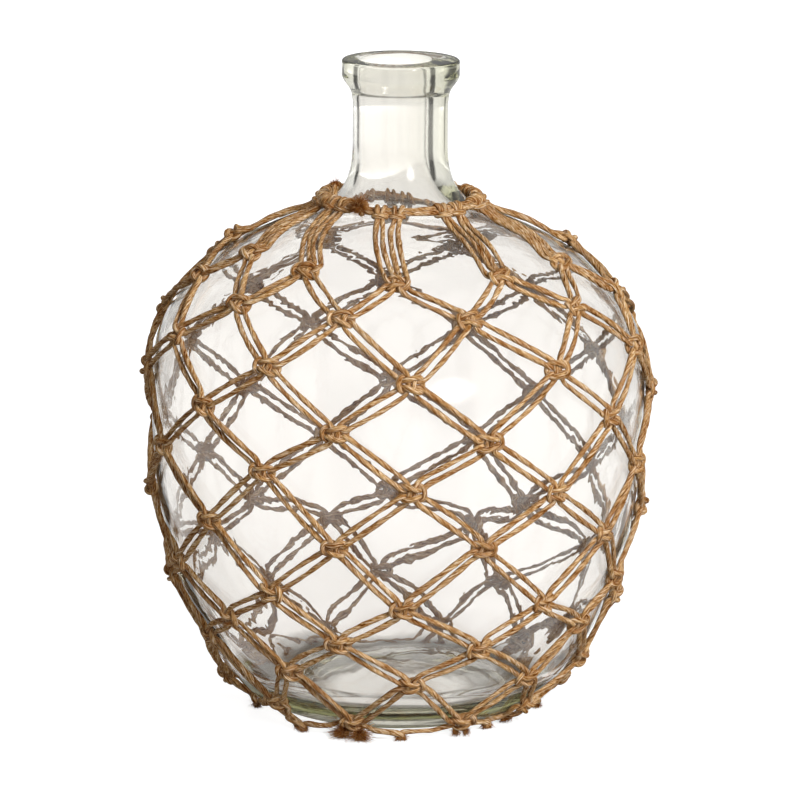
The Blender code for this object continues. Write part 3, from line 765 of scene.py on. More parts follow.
def finishing_knot():
    """Two single strands tied once round each other, with their short ends turned down."""
    front = np.array(FINISH_SHARES) * CORD + (0.0, 0.0, MIDDLE)
    back = front * (-1, 1, -1) + (0.0, 0.0, 2 * MIDDLE)
    return drawn_tight([front, back], [], PRESSED_SHARE * CORD, FINISH_KNOT_ROUNDS)


def double_hitch():
    """Two folded cords hitched side by side over the ring's two turns. Each goes up in front of the
    ring from behind its own bar, over, down behind and out into the bar."""
    half = np.array(HITCH_SHARES) * CORD + (0.0, 0.0, RING_OUT)
    leg = np.array([(-HANG_SPACING / 2, -KNOT_REACH - HITCH_LEG, LOW)])
    left = np.concatenate([leg, half])
    fold = np.concatenate([left, (left * (-1, 1, 1))[::-1][1:]])
    ring = np.array([(-HITCH_RING_REACH, 0.0, RING_OUT), (HITCH_RING_REACH, 0.0, RING_OUT)])
    turns = [ring + (0.0, 0.5 * side * CORD, 0.0) for side in (-1, 1)]
    cords = [fold + (side * HANG_SPACING, 0.0, 0.0) for side in (-1, 1)]
    return drawn_tight(cords, turns, HITCH_PRESSED_SHARE * CORD, HITCH_ROUNDS)


def column_angle(columns):
    """The angle round the bottle, from the front, of a number of columns."""
    return 2.0 * math.pi * columns / COLUMN_COUNT


def full_ring(front, first_column):
    """All knots of a row by doubled column: those in front as given, the rest evenly behind."""
    knots = {}
    behind = COLUMN_COUNT - len(front)
    for index in range(COLUMN_COUNT):
        if index < len(front):
            turn, height = front[index]
        else:
            share = (index - len(front) + 1) / (behind + 1)
            turn = front[-1][0] + share * (COLUMN_COUNT + front[0][0] - front[-1][0])
            height = front[-1][1] + share * (front[0][1] - front[-1][1])
        knots[round(2 * (first_column + index)) % (2 * COLUMN_COUNT)] = (column_angle(turn), height)
    return knots


def near(angle, other):
    """The same angle, within half a turn of another."""
    return other + (angle - other + math.pi) % (2.0 * math.pi) - math.pi


class Net:
    """Where the knots are, how each is turned and squeezed, and the strands' ways between them.

    A knot is an angle round the bottle and a length walked up it. Each row keeps its knots by doubled
    column, so that rows that lie half a column apart have whole numbers too. A strand's role is its
    place in a knot, from left to right: 0 the front worker, 1 and 2 the fillers, 3 the back worker.
    Strands 0 and 1 go on down to the left and 2 and 3 to the right, where workers become fillers and
    fillers workers."""

    def __init__(self, glass):
        """Places all knots, ties one of each kind, and draws how each one in the net differs."""
        self.glass = glass
        self.rows = []
        for front, first in zip(FRONT_KNOT_SHARES, ROW_FIRST_COLUMNS):
            places = full_ring(front, first).items()
            self.rows.append({column: (angle, glass.walked_at(height * BODY_HEIGHT, MIDDLE))
                              for column, (angle, height) in places})
        self.finish = full_ring([(turn, 0.0) for turn in FINISH_TURN_SHARES], FINISH_FIRST_COLUMN)
        self.ring_walked = glass.walked_at(FLARE_FOOT + RING_RISE, MIDDLE)
        self.hitches = full_ring([(turn, 0.0) for turn in RING_TURN_SHARES], RING_FIRST_COLUMN)
        self.kinds = {}
        for kind, upper, lower in (("hanging", hanging_ends(), link_ends(-1)),
                                   ("plain", link_ends(1), link_ends(-1)),
                                   ("last", link_ends(1), cut_ends(-1))):
            knot = square_knot(upper, lower)
            self.kinds[kind] = (knot, turned_over(knot))
        self.hitch = double_hitch()
        self.end_knot = finishing_knot()
        self.looks = {(row, column): self.knot_look()
                      for row, knots in enumerate(self.rows) for column in knots}

    def knot_look(self):
        """How one knot differs from the next: its hand, size, tilt and how far it stands out."""
        return {
            "hand": int(dice.random() < OTHER_HAND_CHANCE),
            "wide": dice.uniform(*KNOT_WIDE_SHARES),
            "tall": dice.uniform(*KNOT_TALL_SHARES),
            "tilt": dice.normal(0.0, KNOT_TILT),
            "out": dice.uniform(*KNOT_OUT_SHARES),
        }

    def on_glass(self, knot, points):
        """Points right, up and off a knot's middle, as angle round the glass, length walked, off."""
        angle, walked = knot
        along = walked + points[:, 1]
        return np.stack([angle + points[:, 0] / self.glass.radius(along), along, points[:, 2]], axis=1)

    def link_turn(self, knot, other, side, up):
        """How much the way to a neighbouring knot turns from the angle that the knot was tied at."""
        right = (near(other[0], knot[0]) - knot[0]) * self.glass.radius(knot[1])
        rise = other[1] - knot[1]
        return side * up * (math.atan2(up * rise, side * right) - LINK_ANGLE)

    def knot_turn(self, row, column):
        """A knot's own turn: the mean of what its links ask for, and a little of its own."""
        knot, turns = self.rows[row][column], []
        for up, other in ((1, row - 1), (-1, row + 1)):
            if 0 <= other < len(self.rows):
                for side in (-1, 1):
                    beside = (column + side) % (2 * COLUMN_COUNT)
                    turns.append(self.link_turn(knot, self.rows[other][beside], side, up))
        share = FIRST_ROW_TURN_SHARE if row == 0 else 1.0
        return float(np.mean(turns)) * share + self.looks[(row, column)]["tilt"]

    def knot_strand(self, row, column, role):
        """One strand of one knot, cut where it leaves the knot, so that its links run straight."""
        look, knot = self.looks[(row, column)], self.rows[row][column]
        kind = "hanging" if row == 0 else "last" if row == len(self.rows) - 1 else "plain"
        points = self.kinds[kind][look["hand"]][role]
        reach = np.hypot(points[:, 0], points[:, 1])
        inside = np.flatnonzero(reach < KNOT_CUT)
        points = points[inside[0]:inside[-1] + 1] * (look["wide"], look["tall"], 1.0)
        points[:, 2] = LOW + (points[:, 2] - LOW) * look["out"]
        turn = self.knot_turn(row, column)
        right = points[:, 0] * math.cos(turn) - points[:, 1] * math.sin(turn)
        up = points[:, 0] * math.sin(turn) + points[:, 1] * math.cos(turn)
        return self.on_glass(knot, np.stack([right, up, points[:, 2]], axis=1))

    def link(self, start, end, side, spread):
        """The way between two knots on the glass: straight in angle and length walked, bowed a little
        to its own side in the middle."""
        end = end.copy()
        end[0] = near(end[0], start[0])
        share = np.linspace(0.0, 1.0, LINK_POINTS)[1:-1, None]
        points = start + share * (end - start)
        radius = self.glass.radius((start[1] + end[1]) / 2)
        right, up = (end[0] - start[0]) * radius, end[1] - start[1]
        size = math.hypot(right, up) + 1e-9
        bow = side * spread * np.sin(math.pi * share[:, 0])
        points[:, 0] += -up / size * bow / radius
        points[:, 1] += right / size * bow
        return points

    def leg(self, column, role, hitch_end):
        """One leg of a folded cord on the glass, from its hitch to its last knot."""
        parts = [self.knot_strand(0, column, role)]
        first = parts[0][0].copy()
        first[0] = near(first[0], hitch_end[0])
        parts[0][:, 0] += first[0] - parts[0][0, 0]
        hang = self.link(hitch_end, first, 1, dice.normal(0.0, HANG_BOW))
        hang[:, 2] = LOW + HANG_LIFT * np.sin(math.pi * np.linspace(0.0, 1.0, len(hang)))
        parts.insert(0, hang)
        for row in range(1, len(self.rows)):
            side = -1 if role in (0, 1) else 1
            column = (column + side) % (2 * COLUMN_COUNT)
            beside = 1 if role in (1, 3) else -1
            role = (role + 2) % 4
            strand = self.knot_strand(row, column, role)
            strand[:, 0] += near(strand[0, 0], parts[-1][-1, 0]) - strand[0, 0]
            parts.append(self.link(parts[-1][-1], strand[0], beside, dice.uniform(0.0, LINK_BOW)))
            parts.append(strand)
        return np.concatenate(parts), column, role

    def finish_strand(self, column, role):
        """The last knot of a worker: the next finishing place on its side, beside the heel."""
        side = -1 if role in (0, 1) else 1
        place = (column + side) % (2 * COLUMN_COUNT)
        angle = self.finish[place][0]
        strand = self.end_knot[0 if side == 1 else 1]
        radius = np.interp(FINISH_HEIGHT, self.glass.outline[:, 1], self.glass.outline[:, 0])
        radius += FINISH_REACH if place in FRONT_END_COLUMNS else CLOSE_REACH
        reach = radius + strand[:, 2] - MIDDLE
        turned = angle + strand[:, 0] / radius
        height = np.maximum(FINISH_HEIGHT + FINISH_TALL_SHARE * strand[:, 1], FLOOR_CLEAR)
        return np.stack([reach * np.sin(turned), -reach * np.cos(turned), height], axis=1)

    def tail(self, angle, placed, column):
        """The cut end of a filler: out of the last square knot and down to the floor beside the heel,
        where it ends at an angle round the bottle."""
        radius = np.interp(TAIL_HEIGHT, self.glass.outline[:, 1], self.glass.outline[:, 0])
        reach = radius + (TAIL_REACH if column in FRONT_END_COLUMNS else CLOSE_REACH)
        reach += dice.uniform(*TAIL_REACH_SPREAD)
        turned = angle + dice.normal(0.0, TAIL_TURN_SPREAD)
        end = np.array([reach * math.sin(turned), -reach * math.cos(turned), TAIL_HEIGHT])
        way = (placed[-1] - placed[-3]) / np.linalg.norm(placed[-1] - placed[-3])
        return bend(placed[-1], TAIL_BEND * way, end, np.array([0.0, 0.0, -TAIL_BEND]), TAIL_POINTS)[1:]

    def leg_in_space(self, column, role, hitch_end):
        """A leg's points in space down to its cut end, and the brush that it ends in."""
        points, column, role = self.leg(column, role, hitch_end)
        placed = self.glass.place(*points.T)
        if role in (1, 2):
            angle = points[-1, 0] + TAIL_TURNS.get(column, (0.0, 0.0))[role - 1]
            tuft = SKIRT_TUFT if column == SKIRT_COLUMN else CUT_TUFT
            return np.concatenate([placed, self.tail(angle, placed, column)]), tuft
        last = self.finish_strand(column, role)
        run = np.linspace(placed[-1], last[0], LINK_POINTS)[1:-1]
        run[:, 2] -= RUN_SAG * np.sin(np.linspace(0.0, math.pi, len(run)))
        run[:, 2] = np.maximum(run[:, 2], FLOOR_CLEAR)
        return np.concatenate([placed, run, last]), CUT_TUFT

    def ring_climb(self, angle):
        """How far the middle of the ring's two turns has climbed at an angle, from half a cord under."""
        share = (angle - column_angle(RING_START_SHARE)) / (2.0 * math.pi) % 1.0
        return RING_STEP * (share - 0.5)

    def cord(self, column, first_role):
        """The whole path of one net cord, a leg, the hitch and the other leg, and its ends' brushes."""
        angle = self.hitches[column][0]
        knot = (angle, self.ring_walked + self.ring_climb(angle))
        hitch = self.on_glass(knot, self.hitch[first_role // 2])
        left, left_tuft = self.leg_in_space(column, first_role, hitch[0])
        right, right_tuft = self.leg_in_space(column, first_role + 1, hitch[-1])
        return np.concatenate([left[::-1], self.glass.place(*hitch[1:-1].T), right]), (left_tuft, right_tuft)

    def tied_end(self, angle, walked, side, out_shares):
        """An end of the ring's cord: once and a half round both turns of the ring, as a screw line
        right, up and off their middle, and then out by given cord widths."""
        share = np.linspace(0.0, 1.0, WRAP_POINTS)
        turn = math.pi * (0.5 + 2.0 * WRAP_TURNS * share)
        right_share, up_share, out_share = WRAP_SHARES
        wrap = np.stack([side * (WRAP_START + right_share * CORD * share), up_share * CORD * np.sin(turn),
                         np.maximum(RING_OUT - out_share * CORD * np.cos(turn), LOW)], axis=1)
        out = np.array(out_shares) * CORD + (wrap[-1, 0], 0.0, LOW)
        return self.on_glass((angle, walked), np.concatenate([wrap, out]))

    def ring(self):
        """The neck ring: one cord wound twice, side by side, its ends tied round it and turned out."""
        start = column_angle(RING_START_SHARE)
        end = column_angle(RING_END_SHARE) + 2.0 * math.pi * RING_TURNS
        angle = np.linspace(start, end, RING_POINTS)
        walked = self.ring_walked + RING_STEP * ((angle - start) / (2.0 * math.pi) - 1.0)
        wound = np.stack([angle, walked, np.full(len(angle), RING_OUT)], axis=1)
        first = self.tied_end(start, self.ring_walked, -1, BRUSH_END_SHARES)[::-1]
        last = self.tied_end(end, self.ring_walked, -1, UPRIGHT_END_SHARES)
        path = self.glass.place(*np.concatenate([first, wound, last]).T)
        return path, (RING_BRUSH_TUFT, RING_UPRIGHT_TUFT)


def frames_along(points):
    """Directions along a path and two across it that turn as little as they can from step to step:
    each is carried on by mirroring it twice."""
    along = np.gradient(points, axis=0)
    along /= np.linalg.norm(along, axis=1)[:, None]
    side = np.cross(along[0], (0.0, 0.0, 1.0) if abs(along[0, 2]) < 0.9 else (1.0, 0.0, 0.0))
    side /= np.linalg.norm(side)
    sides = np.empty_like(points)
    sides[0] = side
    steps = np.diff(points, axis=0)
    for index in range(len(points) - 1):
        step = steps[index]
        reach = step @ step
        mirrored = sides[index] - 2.0 * (step @ sides[index]) / reach * step
        ahead = along[index] - 2.0 * (step @ along[index]) / reach * step
        turn = along[index + 1] - ahead
        sides[index + 1] = mirrored - 2.0 * (turn @ mirrored) / max(turn @ turn, 1e-12) * turn
    return along, sides, np.cross(along, sides)


def cord_skin(points, width, seed):
    """A twisted skin along a path: radius r(1 + d cos n(a - t)), for n plies, where a goes round the
    cord, t turns once for each twist walked, and r swells and thins a little, quickly and slowly. The
    seed says where the twist, the swelling and the pattern start."""
    along, side, over = frames_along(points)
    length = walked_length(points)
    around = np.linspace(0.0, 2.0 * math.pi, CORD_SIDES, endpoint=False)
    twist = 2.0 * math.pi * length / TWIST + seed
    swell = 1.0 + sum(share * np.sin(2.0 * math.pi * length / reach + turn * seed)
                      for turn, (reach, share) in enumerate(SWELL_SHARES, start=1))
    plies = 1.0 + PLY_DEPTH_SHARE * np.cos(PLIES * (around[None] - twist[:, None]))
    radius = width / 2 * swell[:, None] * plies
    rings = points[:, None] + radius[:, :, None] * (
        np.cos(around)[None, :, None] * side[:, None] + np.sin(around)[None, :, None] * over[:, None])
    count = len(points)
    tips = [points[:1] - along[:1] * width * TIP_SHARE, points[-1:] + along[-1:] * width * TIP_SHARE]
    verts = np.concatenate([rings.reshape(-1, 3)] + tips)
    row, step = np.meshgrid(np.arange(count - 1), np.arange(CORD_SIDES), indexing="ij")
    here, turn = row * CORD_SIDES + step, row * CORD_SIDES + (step + 1) % CORD_SIDES
    quads = np.stack([here, turn, turn + CORD_SIDES, here + CORD_SIDES], axis=2).reshape(-1, 4)
    across = np.stack([step / CORD_SIDES, (step + 1) / CORD_SIDES], axis=2)
    low, high = length[row], length[row + 1]
    uv = np.stack([
        np.stack([low, across[:, :, 0]], axis=2), np.stack([low, across[:, :, 1]], axis=2),
        np.stack([high, across[:, :, 1]], axis=2), np.stack([high, across[:, :, 0]], axis=2)], axis=2)
    steps = np.arange(CORD_SIDES)
    after, base = (steps + 1) % CORD_SIDES, (count - 1) * CORD_SIDES
    first, last = (np.full(CORD_SIDES, len(verts) - back) for back in (2, 1))
    caps = np.concatenate([np.stack([after, steps, first], axis=1),
                           np.stack([base + steps, base + after, last], axis=1)])
    cap_uv = np.stack([np.repeat([0.0, length[-1]], CORD_SIDES * 3),
                       np.tile(np.repeat(steps / CORD_SIDES, 3), 2)], axis=1)
    start = (TWIST * round(seed * SEED_TWISTS), 0.0)
    return verts, quads, caps, np.concatenate([uv.reshape(-1, 2), cap_uv]) + start


def fibre_skin(roots, ways, curls, lengths, widths):
    """Fibres: three sided hairs along root + way s + curl s squared, narrowing to a point. All of a
    fibre's corners share one place in the UV map, which gives it its colour."""
    share = np.array(FIBRE_RING_SHARES)
    count = len(roots)
    bends = ways[:, None] * share[None, :, None] + curls[:, None] * (share ** 2)[None, :, None]
    middles = roots[:, None] + bends * lengths[:, None, None]
    tips = roots + (ways + curls) * lengths[:, None]
    side = np.cross(ways, curls + FIBRE_ASIDE)
    side /= np.linalg.norm(side, axis=1)[:, None]
    over = np.cross(ways, side)
    angle = np.linspace(0.0, 2.0 * math.pi, FIBRE_SIDES, endpoint=False)
    wide = widths[:, None] / 2 * (1.0 - FIBRE_THINNING * share)[None]
    ring = np.cos(angle)[None, :, None] * side[:, None] + np.sin(angle)[None, :, None] * over[:, None]
    verts = middles[:, :, None] + wide[:, :, None, None] * ring[:, None]
    verts = np.concatenate([verts.reshape(count, -1, 3), tips[:, None]], axis=1)
    faces = [(0, 2, 1)]
    last, tip = FIBRE_SIDES * (len(share) - 1), FIBRE_SIDES * len(share)
    for low in range(0, last, FIBRE_SIDES):
        for index in range(FIBRE_SIDES):
            here, turn = low + index, low + (index + 1) % FIBRE_SIDES
            faces += [(here, turn, turn + FIBRE_SIDES), (here, turn + FIBRE_SIDES, here + FIBRE_SIDES)]
    faces += [(last + index, last + (index + 1) % FIBRE_SIDES, tip) for index in range(FIBRE_SIDES)]
    corners = 3 * len(faces)
    faces = (np.array(faces)[None] + (tip + 1) * np.arange(count)[:, None, None]).reshape(-1, 3)
    uv = np.repeat(dice.uniform(0.0, FIBRE_UV_REACH, (count, 2)), corners, axis=0)
    return verts.reshape(-1, 3), faces, uv


def loose_fibres(points):
    """Hairs that stand off a cord: rooted in it, leaning along it, curled back to it."""
    along, side, over = frames_along(points)
    length = walked_length(points)
    count = int(length[-1] * LOOSE_PER_METRE)
    spot = dice.integers(1, len(points) - 1, count)
    angle = dice.uniform(0.0, 2.0 * math.pi, count)[:, None]
    out = np.cos(angle) * side[spot] + np.sin(angle) * over[spot]
    lean = dice.normal(0.0, LOOSE_LEAN, (count, 1))
    ways = out + lean * along[spot] + dice.normal(0.0, LOOSE_SPREAD, (count, 3))
    ways /= np.linalg.norm(ways, axis=1)[:, None]
    curls = -LOOSE_CURL * out + dice.normal(0.0, LOOSE_CURL_SPREAD, (count, 3))
    roots = points[spot] + out * CORD * LOOSE_ROOT_SHARE
    return fibre_skin(roots, ways, curls, dice.uniform(*LOOSE_LENGTHS, count),
                      dice.uniform(*LOOSE_WIDTHS, count))


def frayed_end(point, way, reach, count, fan):
    """The brush of fibres at a cut end: all from the cord's end, fanning out as they go."""
    ways = way + dice.normal(0.0, fan, (count, 3))
    ways /= np.linalg.norm(ways, axis=1)[:, None]
    roots = point + dice.normal(0.0, CORD * CUT_ROOT_SHARE, (count, 3)) - way * CUT_ROOT_DEPTH
    curls = dice.normal(0.0, CUT_CURL, (count, 3))
    return fibre_skin(roots, ways, curls, dice.uniform(*CUT_LENGTH_SHARES, count) * reach,
                      dice.uniform(*CUT_WIDTHS, count))


def cord_piece(name, path, tufts, materials, seed):
    """A whole cord: its twisted skin, its loose fibres and the frayed brushes at its cut ends."""
    first_rounds, last_rounds = SMOOTHING_ROUNDS
    points = resampled(smoothed(resampled(path, CORD_STEP), first_rounds), CORD_STEP)
    points = smoothed(points, last_rounds)
    points[:, 2] = np.maximum(points[:, 2], FLOOR_CLEAR)
    verts, quads, caps, uv = cord_skin(points, SKIN_WIDTH, seed)
    parts = [loose_fibres(points)]
    for tuft, walk in zip(tufts, (points, points[::-1])):
        way = walk[0] - walk[CUT_WAY_POINTS]
        parts.append(frayed_end(walk[0], way / np.linalg.norm(way), *tuft))
    count = len(verts)
    triangles = [caps]
    for more_verts, more_faces, more_uv in parts:
        more_verts[:, 2] = np.maximum(more_verts[:, 2], FIBRE_FLOOR_CLEAR)
        verts = np.concatenate([verts, more_verts])
        triangles.append(more_faces + count)
        uv = np.concatenate([uv, more_uv])
        count += len(more_verts)
    piece = mesh_piece(name, verts, quads.tolist() + np.concatenate(triangles).tolist(), materials)
    plain = len(quads) + len(caps) + len(triangles[1])
    slots = np.concatenate([np.zeros(plain, int), np.ones(sum(len(part) for part in triangles[2:]), int)])
    piece.data.polygons.foreach_set("material_index", slots)
    layer = piece.data.uv_layers.new(name="cord")
    layer.data.foreach_set("uv", uv.ravel())
    return piece


def make_bottle(glass, material):
    """The bottle as one closed shell, wavy on both sides of its wall."""
    broad, middle = noise_waves(*BROAD_WAVES), noise_waves(*MIDDLE_WAVES)

    def waves(points):
        """How far the waves lift each point of the glass."""
        return wave_height(points, broad, BROAD_SLOPE) + wave_height(points, middle, MIDDLE_SLOPE)

    outline = bottle_outline(glass)
    verts, faces = turned_surface(outline, BOTTLE_SEGMENTS, waves)
    piece = mesh_piece("blown_bottle", verts, faces, [material])
    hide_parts("bottle")
    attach(piece, "root")


def make_net(glass, materials):
    """The neck ring and the twenty folded cords. Two hang at each column: the first one's legs are the
    left worker and filler of the column's first knot, and the second one's the right ones."""
    net = Net(glass)
    ring = cord_piece("neck_ring_twine", *net.ring(), materials, RING_SEED)
    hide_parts("neck_ring_cord")
    pieces = [ring]
    for index in range(COLUMN_COUNT):
        for first_role in (0, 2):
            number = len(pieces)
            path, tufts = net.cord(2 * index, first_role)
            piece = cord_piece(f"net_twine_{number:02d}", path, tufts, materials, number * SEED_STEP)
            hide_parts(f"net_cord_{number:02d}")
            pieces.append(piece)
    for piece in pieces:
        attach(piece, "root")


# The studio: its floor's width in metres and its paint, and the light that the floor and the world give
FLOOR_SIZE = 14.0
FLOOR_COLOUR = "#ADADAD"
WHITE = "#FFFFFF"
FLOOR_LIGHT = 0.885
WORLD_LIGHT = 0.24

# The pale panels that the glass shows: how many there are all round, between which cosines a gap
# brightens, the gaps' light, and how much of it all glass bends and mirrors
PANEL_TURNS = 3.5
PANEL_GAP = (-0.96, -0.62)
PANEL_GAP_LIGHT = 0.04
BENT_LIGHT = 0.985
MIRRORED_LIGHT = 0.45

# High above the panels it is darker: the light there, and between which upward shares it falls
CEILING_LIGHT = 0.30
CEILING_FROM = (0.3, 0.7)

# What the glass shows of the floor: its light by the distance from the bottle's middle in metres, with a
# painted shadow, a little darker under the bottle and dark in a ring round its foot, and the distances
# between which the panels take over
FOOT_PAINTED_SHADOW = ((0.040, 0.90), (0.058, 0.05), (0.093, 0.05), (0.125, 0.95), (0.5, 1.0))
FAR_FROM = (0.9, 1.5)

# How often light is followed from mirror to mirror inside the thick glass
GLASS_BOUNCES = 16

# Each lamp's name, place, width in metres and watts, and whether the glass shows it mirrored. The one
# that it shows is round and fades out between two distances from its middle, as shares of its width.
LAMPS = (
    ("right_softbox", (0.84, -1.82, 0.73), 0.92, 28.0, True),
    ("front_softbox", (1.0, -1.6, 1.45), 0.9, 38.0, False),
    ("left_softbox", (-2.2, -1.4, 1.5), 1.2, 2.0, False),
    ("back_softbox", (-1.0, 3.8, 1.0), 1.4, 75.0, False),
)
LAMP_FADE = (0.05, 0.5)
LAMP_AIM = (0.0, 0.0, BELLY_HEIGHT)

# The photograph's camera: its place and aim in metres, its lens and film in millimetres, and its roll
CAMERA_PLACE = (0.0012, -3.0, 0.874)
CAMERA_AIM = (0.0012, 0.0, 0.1955)
CAMERA_LENS = 217.2
CAMERA_ROLL = math.radians(0.46)
FILM_WIDTH = 36.0


def panel_light(tree, direction):
    """What glass sees round it: pale studio panels with darker gaps between, as a smooth step of
    the cosine of the panels' turns times a, where a is the angle round the bottle from behind it."""
    split = node(tree, "ShaderNodeSeparateXYZ", links={0: direction})
    angle = node(tree, "ShaderNodeMath", operation="ARCTAN2",
                 links={0: split.outputs[0], 1: split.outputs[1]})
    turns = node(tree, "ShaderNodeMath", operation="MULTIPLY",
                 links={0: angle.outputs[0]}, values={1: PANEL_TURNS})
    wave = node(tree, "ShaderNodeMath", operation="COSINE", links={0: turns.outputs[0]})
    step = node(tree, "ShaderNodeMapRange", interpolation_type="SMOOTHSTEP", links={
        "Value": wave.outputs[0]}, values={
        "From Min": PANEL_GAP[0], "From Max": PANEL_GAP[1], "To Min": PANEL_GAP_LIGHT, "To Max": 1.0})
    return step.outputs[0]


def seen_light(tree, panels):
    """Camera rays get white. Rays that glass bends or mirrors get the panels, and light that has
    met a matt surface gets nothing."""
    rays = node(tree, "ShaderNodeLightPath")
    mirrored = node(tree, "ShaderNodeMath", links={0: rays.outputs["Is Glossy Ray"]},
                    values={1: MIRRORED_LIGHT}, operation="MULTIPLY")
    through = node(tree, "ShaderNodeMath", links={0: rays.outputs["Is Transmission Ray"]},
                   values={1: BENT_LIGHT}, operation="MULTIPLY")
    bent = node(tree, "ShaderNodeMath", operation="MAXIMUM",
                links={0: mirrored.outputs[0], 1: through.outputs[0]})
    matt = node(tree, "ShaderNodeMath", operation="LESS_THAN",
                links={0: rays.outputs["Diffuse Depth"]}, values={1: 0.5})
    direct = node(tree, "ShaderNodeMath", operation="MULTIPLY",
                  links={0: bent.outputs[0], 1: matt.outputs[0]})
    paned = node(tree, "ShaderNodeMath", links={0: direct.outputs[0], 1: panels}, operation="MULTIPLY")
    seen = node(tree, "ShaderNodeMath", links={0: paned.outputs[0], 1: rays.outputs["Is Camera Ray"]},
                operation="MAXIMUM")
    return seen.outputs[0], direct.outputs[0], rays.outputs["Is Camera Ray"]


def add_floor():
    """A matt pale floor. Straight, mirrored or bent views of it get the light that makes it white, but
    for the glass a shadow is painted into that light: a little darker under the bottle and dark in a
    ring round its foot, where the bottle stands and keeps light out."""
    material, output = blank_material("matt_floor_paint")
    tree = material.node_tree
    paint = node(tree, "ShaderNodeBsdfDiffuse", values={"Color": hex_colour(FLOOR_COLOUR)})
    place = node(tree, "ShaderNodeTexCoord")
    reach = node(tree, "ShaderNodeVectorMath", links={0: place.outputs["Object"]}, operation="LENGTH")
    far = node(tree, "ShaderNodeMapRange", interpolation_type="SMOOTHSTEP", links={
        "Value": reach.outputs["Value"]}, values={"From Min": FAR_FROM[0], "From Max": FAR_FROM[1]})
    # A painted shadow round the foot, in the light that only the glass sees of the floor
    painted_shadow = node(tree, "ShaderNodeValToRGB", links={0: reach.outputs["Value"]})
    set_stops(painted_shadow, [(distance, (share, share, share, 1.0)) for distance, share in FOOT_PAINTED_SHADOW])
    panels = node(tree, "ShaderNodeMix", links={
        0: far.outputs[0], 2: painted_shadow.outputs[0], 3: panel_light(tree, place.outputs["Object"])})
    seen = seen_light(tree, panels.outputs[0])[0]
    strength = node(tree, "ShaderNodeMath", links={0: seen}, values={1: FLOOR_LIGHT}, operation="MULTIPLY")
    light = node(tree, "ShaderNodeEmission", links={"Strength": strength.outputs[0]},
                 values={"Color": hex_colour(WHITE)})
    both = node(tree, "ShaderNodeAddShader", links={0: paint.outputs[0], 1: light.outputs[0]})
    tree.links.new(both.outputs[0], output.inputs["Surface"])
    half = FLOOR_SIZE / 2
    verts = [(-half, -half, 0.0), (half, -half, 0.0), (half, half, 0.0), (-half, half, 0.0)]
    floor = mesh_piece("studio_floor", verts, [(0, 1, 2, 3)], [material], smooth=False)


def add_world():
    """White where it is seen, pale panels where glass mirrors or bends it, darker high above, and a
    soft even light for all else."""
    world = bpy.data.worlds.new("studio")
    bpy.context.scene.world = world
    world.use_nodes = True
    tree = world.node_tree
    tree.nodes.clear()
    place = node(tree, "ShaderNodeTexCoord")
    panels = panel_light(tree, place.outputs["Generated"])
    split = node(tree, "ShaderNodeSeparateXYZ", links={0: place.outputs["Generated"]})
    high = node(tree, "ShaderNodeMapRange", interpolation_type="SMOOTHSTEP", links={
        "Value": split.outputs[2]}, values={
        "From Min": CEILING_FROM[0], "From Max": CEILING_FROM[1], "To Min": 1.0, "To Max": CEILING_LIGHT})
    both = node(tree, "ShaderNodeMath", links={0: panels, 1: high.outputs[0]}, operation="MULTIPLY")
    seen, direct, camera = seen_light(tree, both.outputs[0])
    matt = node(tree, "ShaderNodeMath", links={0: camera, 1: direct}, operation="MAXIMUM")
    colour = hex_colour(WHITE)
    soft = node(tree, "ShaderNodeBackground", values={"Color": colour, "Strength": WORLD_LIGHT})
    white = node(tree, "ShaderNodeBackground", links={"Strength": seen}, values={"Color": colour})
    mixed = node(tree, "ShaderNodeMixShader",
                 links={0: matt.outputs[0], 1: soft.outputs[0], 2: white.outputs[0]})
    output = node(tree, "ShaderNodeOutputWorld")
    tree.links.new(mixed.outputs[0], output.inputs["Surface"])


def look_at(piece, place, aim):
    """Puts a lamp or camera at a place, looking along its own -Z at its aim."""
    way = np.array(aim) - np.array(place)
    turn = math.atan2(way[0], way[1])
    tilt = math.atan2(math.hypot(way[0], way[1]), -way[2])
    piece.location = place
    piece.rotation_euler = (tilt, 0.0, -turn)


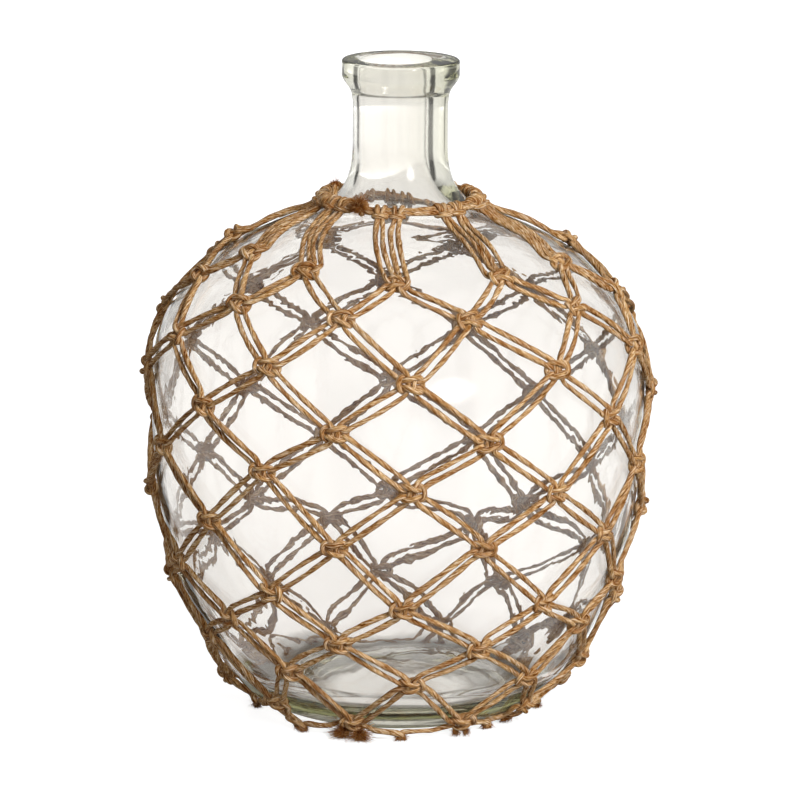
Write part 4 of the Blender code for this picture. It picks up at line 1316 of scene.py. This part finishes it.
def add_lamp(name, place, size, power, mirrored):
    """A soft lamp that shines at the bottle's belly. Only the round one is seen mirrored in the glass:
    it fades towards its edge, as a softbox does."""
    lamp = bpy.data.lights.new(name, "AREA")
    lamp.shape = "DISK" if mirrored else "SQUARE"
    lamp.size = size
    lamp.energy = power
    if mirrored:
        lamp.use_nodes = True
        tree = lamp.node_tree
        tree.nodes.clear()
        spot = node(tree, "ShaderNodeNewGeometry")
        centred = node(tree, "ShaderNodeVectorMath", links={0: spot.outputs["Parametric"]},
                       values={1: (0.5, 0.5, 0.0)}, operation="DISTANCE")
        fade = node(tree, "ShaderNodeMapRange", interpolation_type="SMOOTHSTEP", links={
            "Value": centred.outputs["Value"]}, values={
            "From Min": LAMP_FADE[0], "From Max": LAMP_FADE[1], "To Min": 1.0, "To Max": 0.0})
        shine = node(tree, "ShaderNodeEmission", links={"Strength": fade.outputs[0]})
        tree.links.new(shine.outputs[0], node(tree, "ShaderNodeOutputLight").inputs[0])
    piece = bpy.data.objects.new(name, lamp)
    bpy.context.scene.collection.objects.link(piece)
    look_at(piece, place, LAMP_AIM)
    piece.visible_camera = False
    piece.visible_glossy = mirrored
    piece.visible_transmission = False


def add_camera():
    """The photograph's view: a long lens from slightly above, rolled a little."""
    camera = bpy.data.cameras.new("camera")
    camera.lens = CAMERA_LENS
    camera.sensor_width = FILM_WIDTH
    piece = bpy.data.objects.new("camera", camera)
    bpy.context.scene.collection.objects.link(piece)
    look_at(piece, CAMERA_PLACE, CAMERA_AIM)
    piece.rotation_mode = "QUATERNION"
    from_euler = piece.rotation_euler.to_quaternion()
    half = CAMERA_ROLL / 2
    piece.rotation_quaternion = from_euler @ type(from_euler)((math.cos(half), 0.0, 0.0, math.sin(half)))
    bpy.context.scene.camera = piece


def main():
    """Makes the bottle, its net and the studio, with its lamps and camera."""
    glass = Glass()
    make_bottle(glass, glass_material())
    make_net(glass, [jute_material(), cut_jute_material()])
    add_floor()
    add_world()
    for lamp in LAMPS:
        add_lamp(*lamp)
    add_camera()
    bpy.context.scene.view_settings.view_transform = "Standard"
    # Light that the thick glass mirrors inside itself goes on until it comes out again
    bpy.context.scene.cycles.glossy_bounces = GLASS_BOUNCES


main()
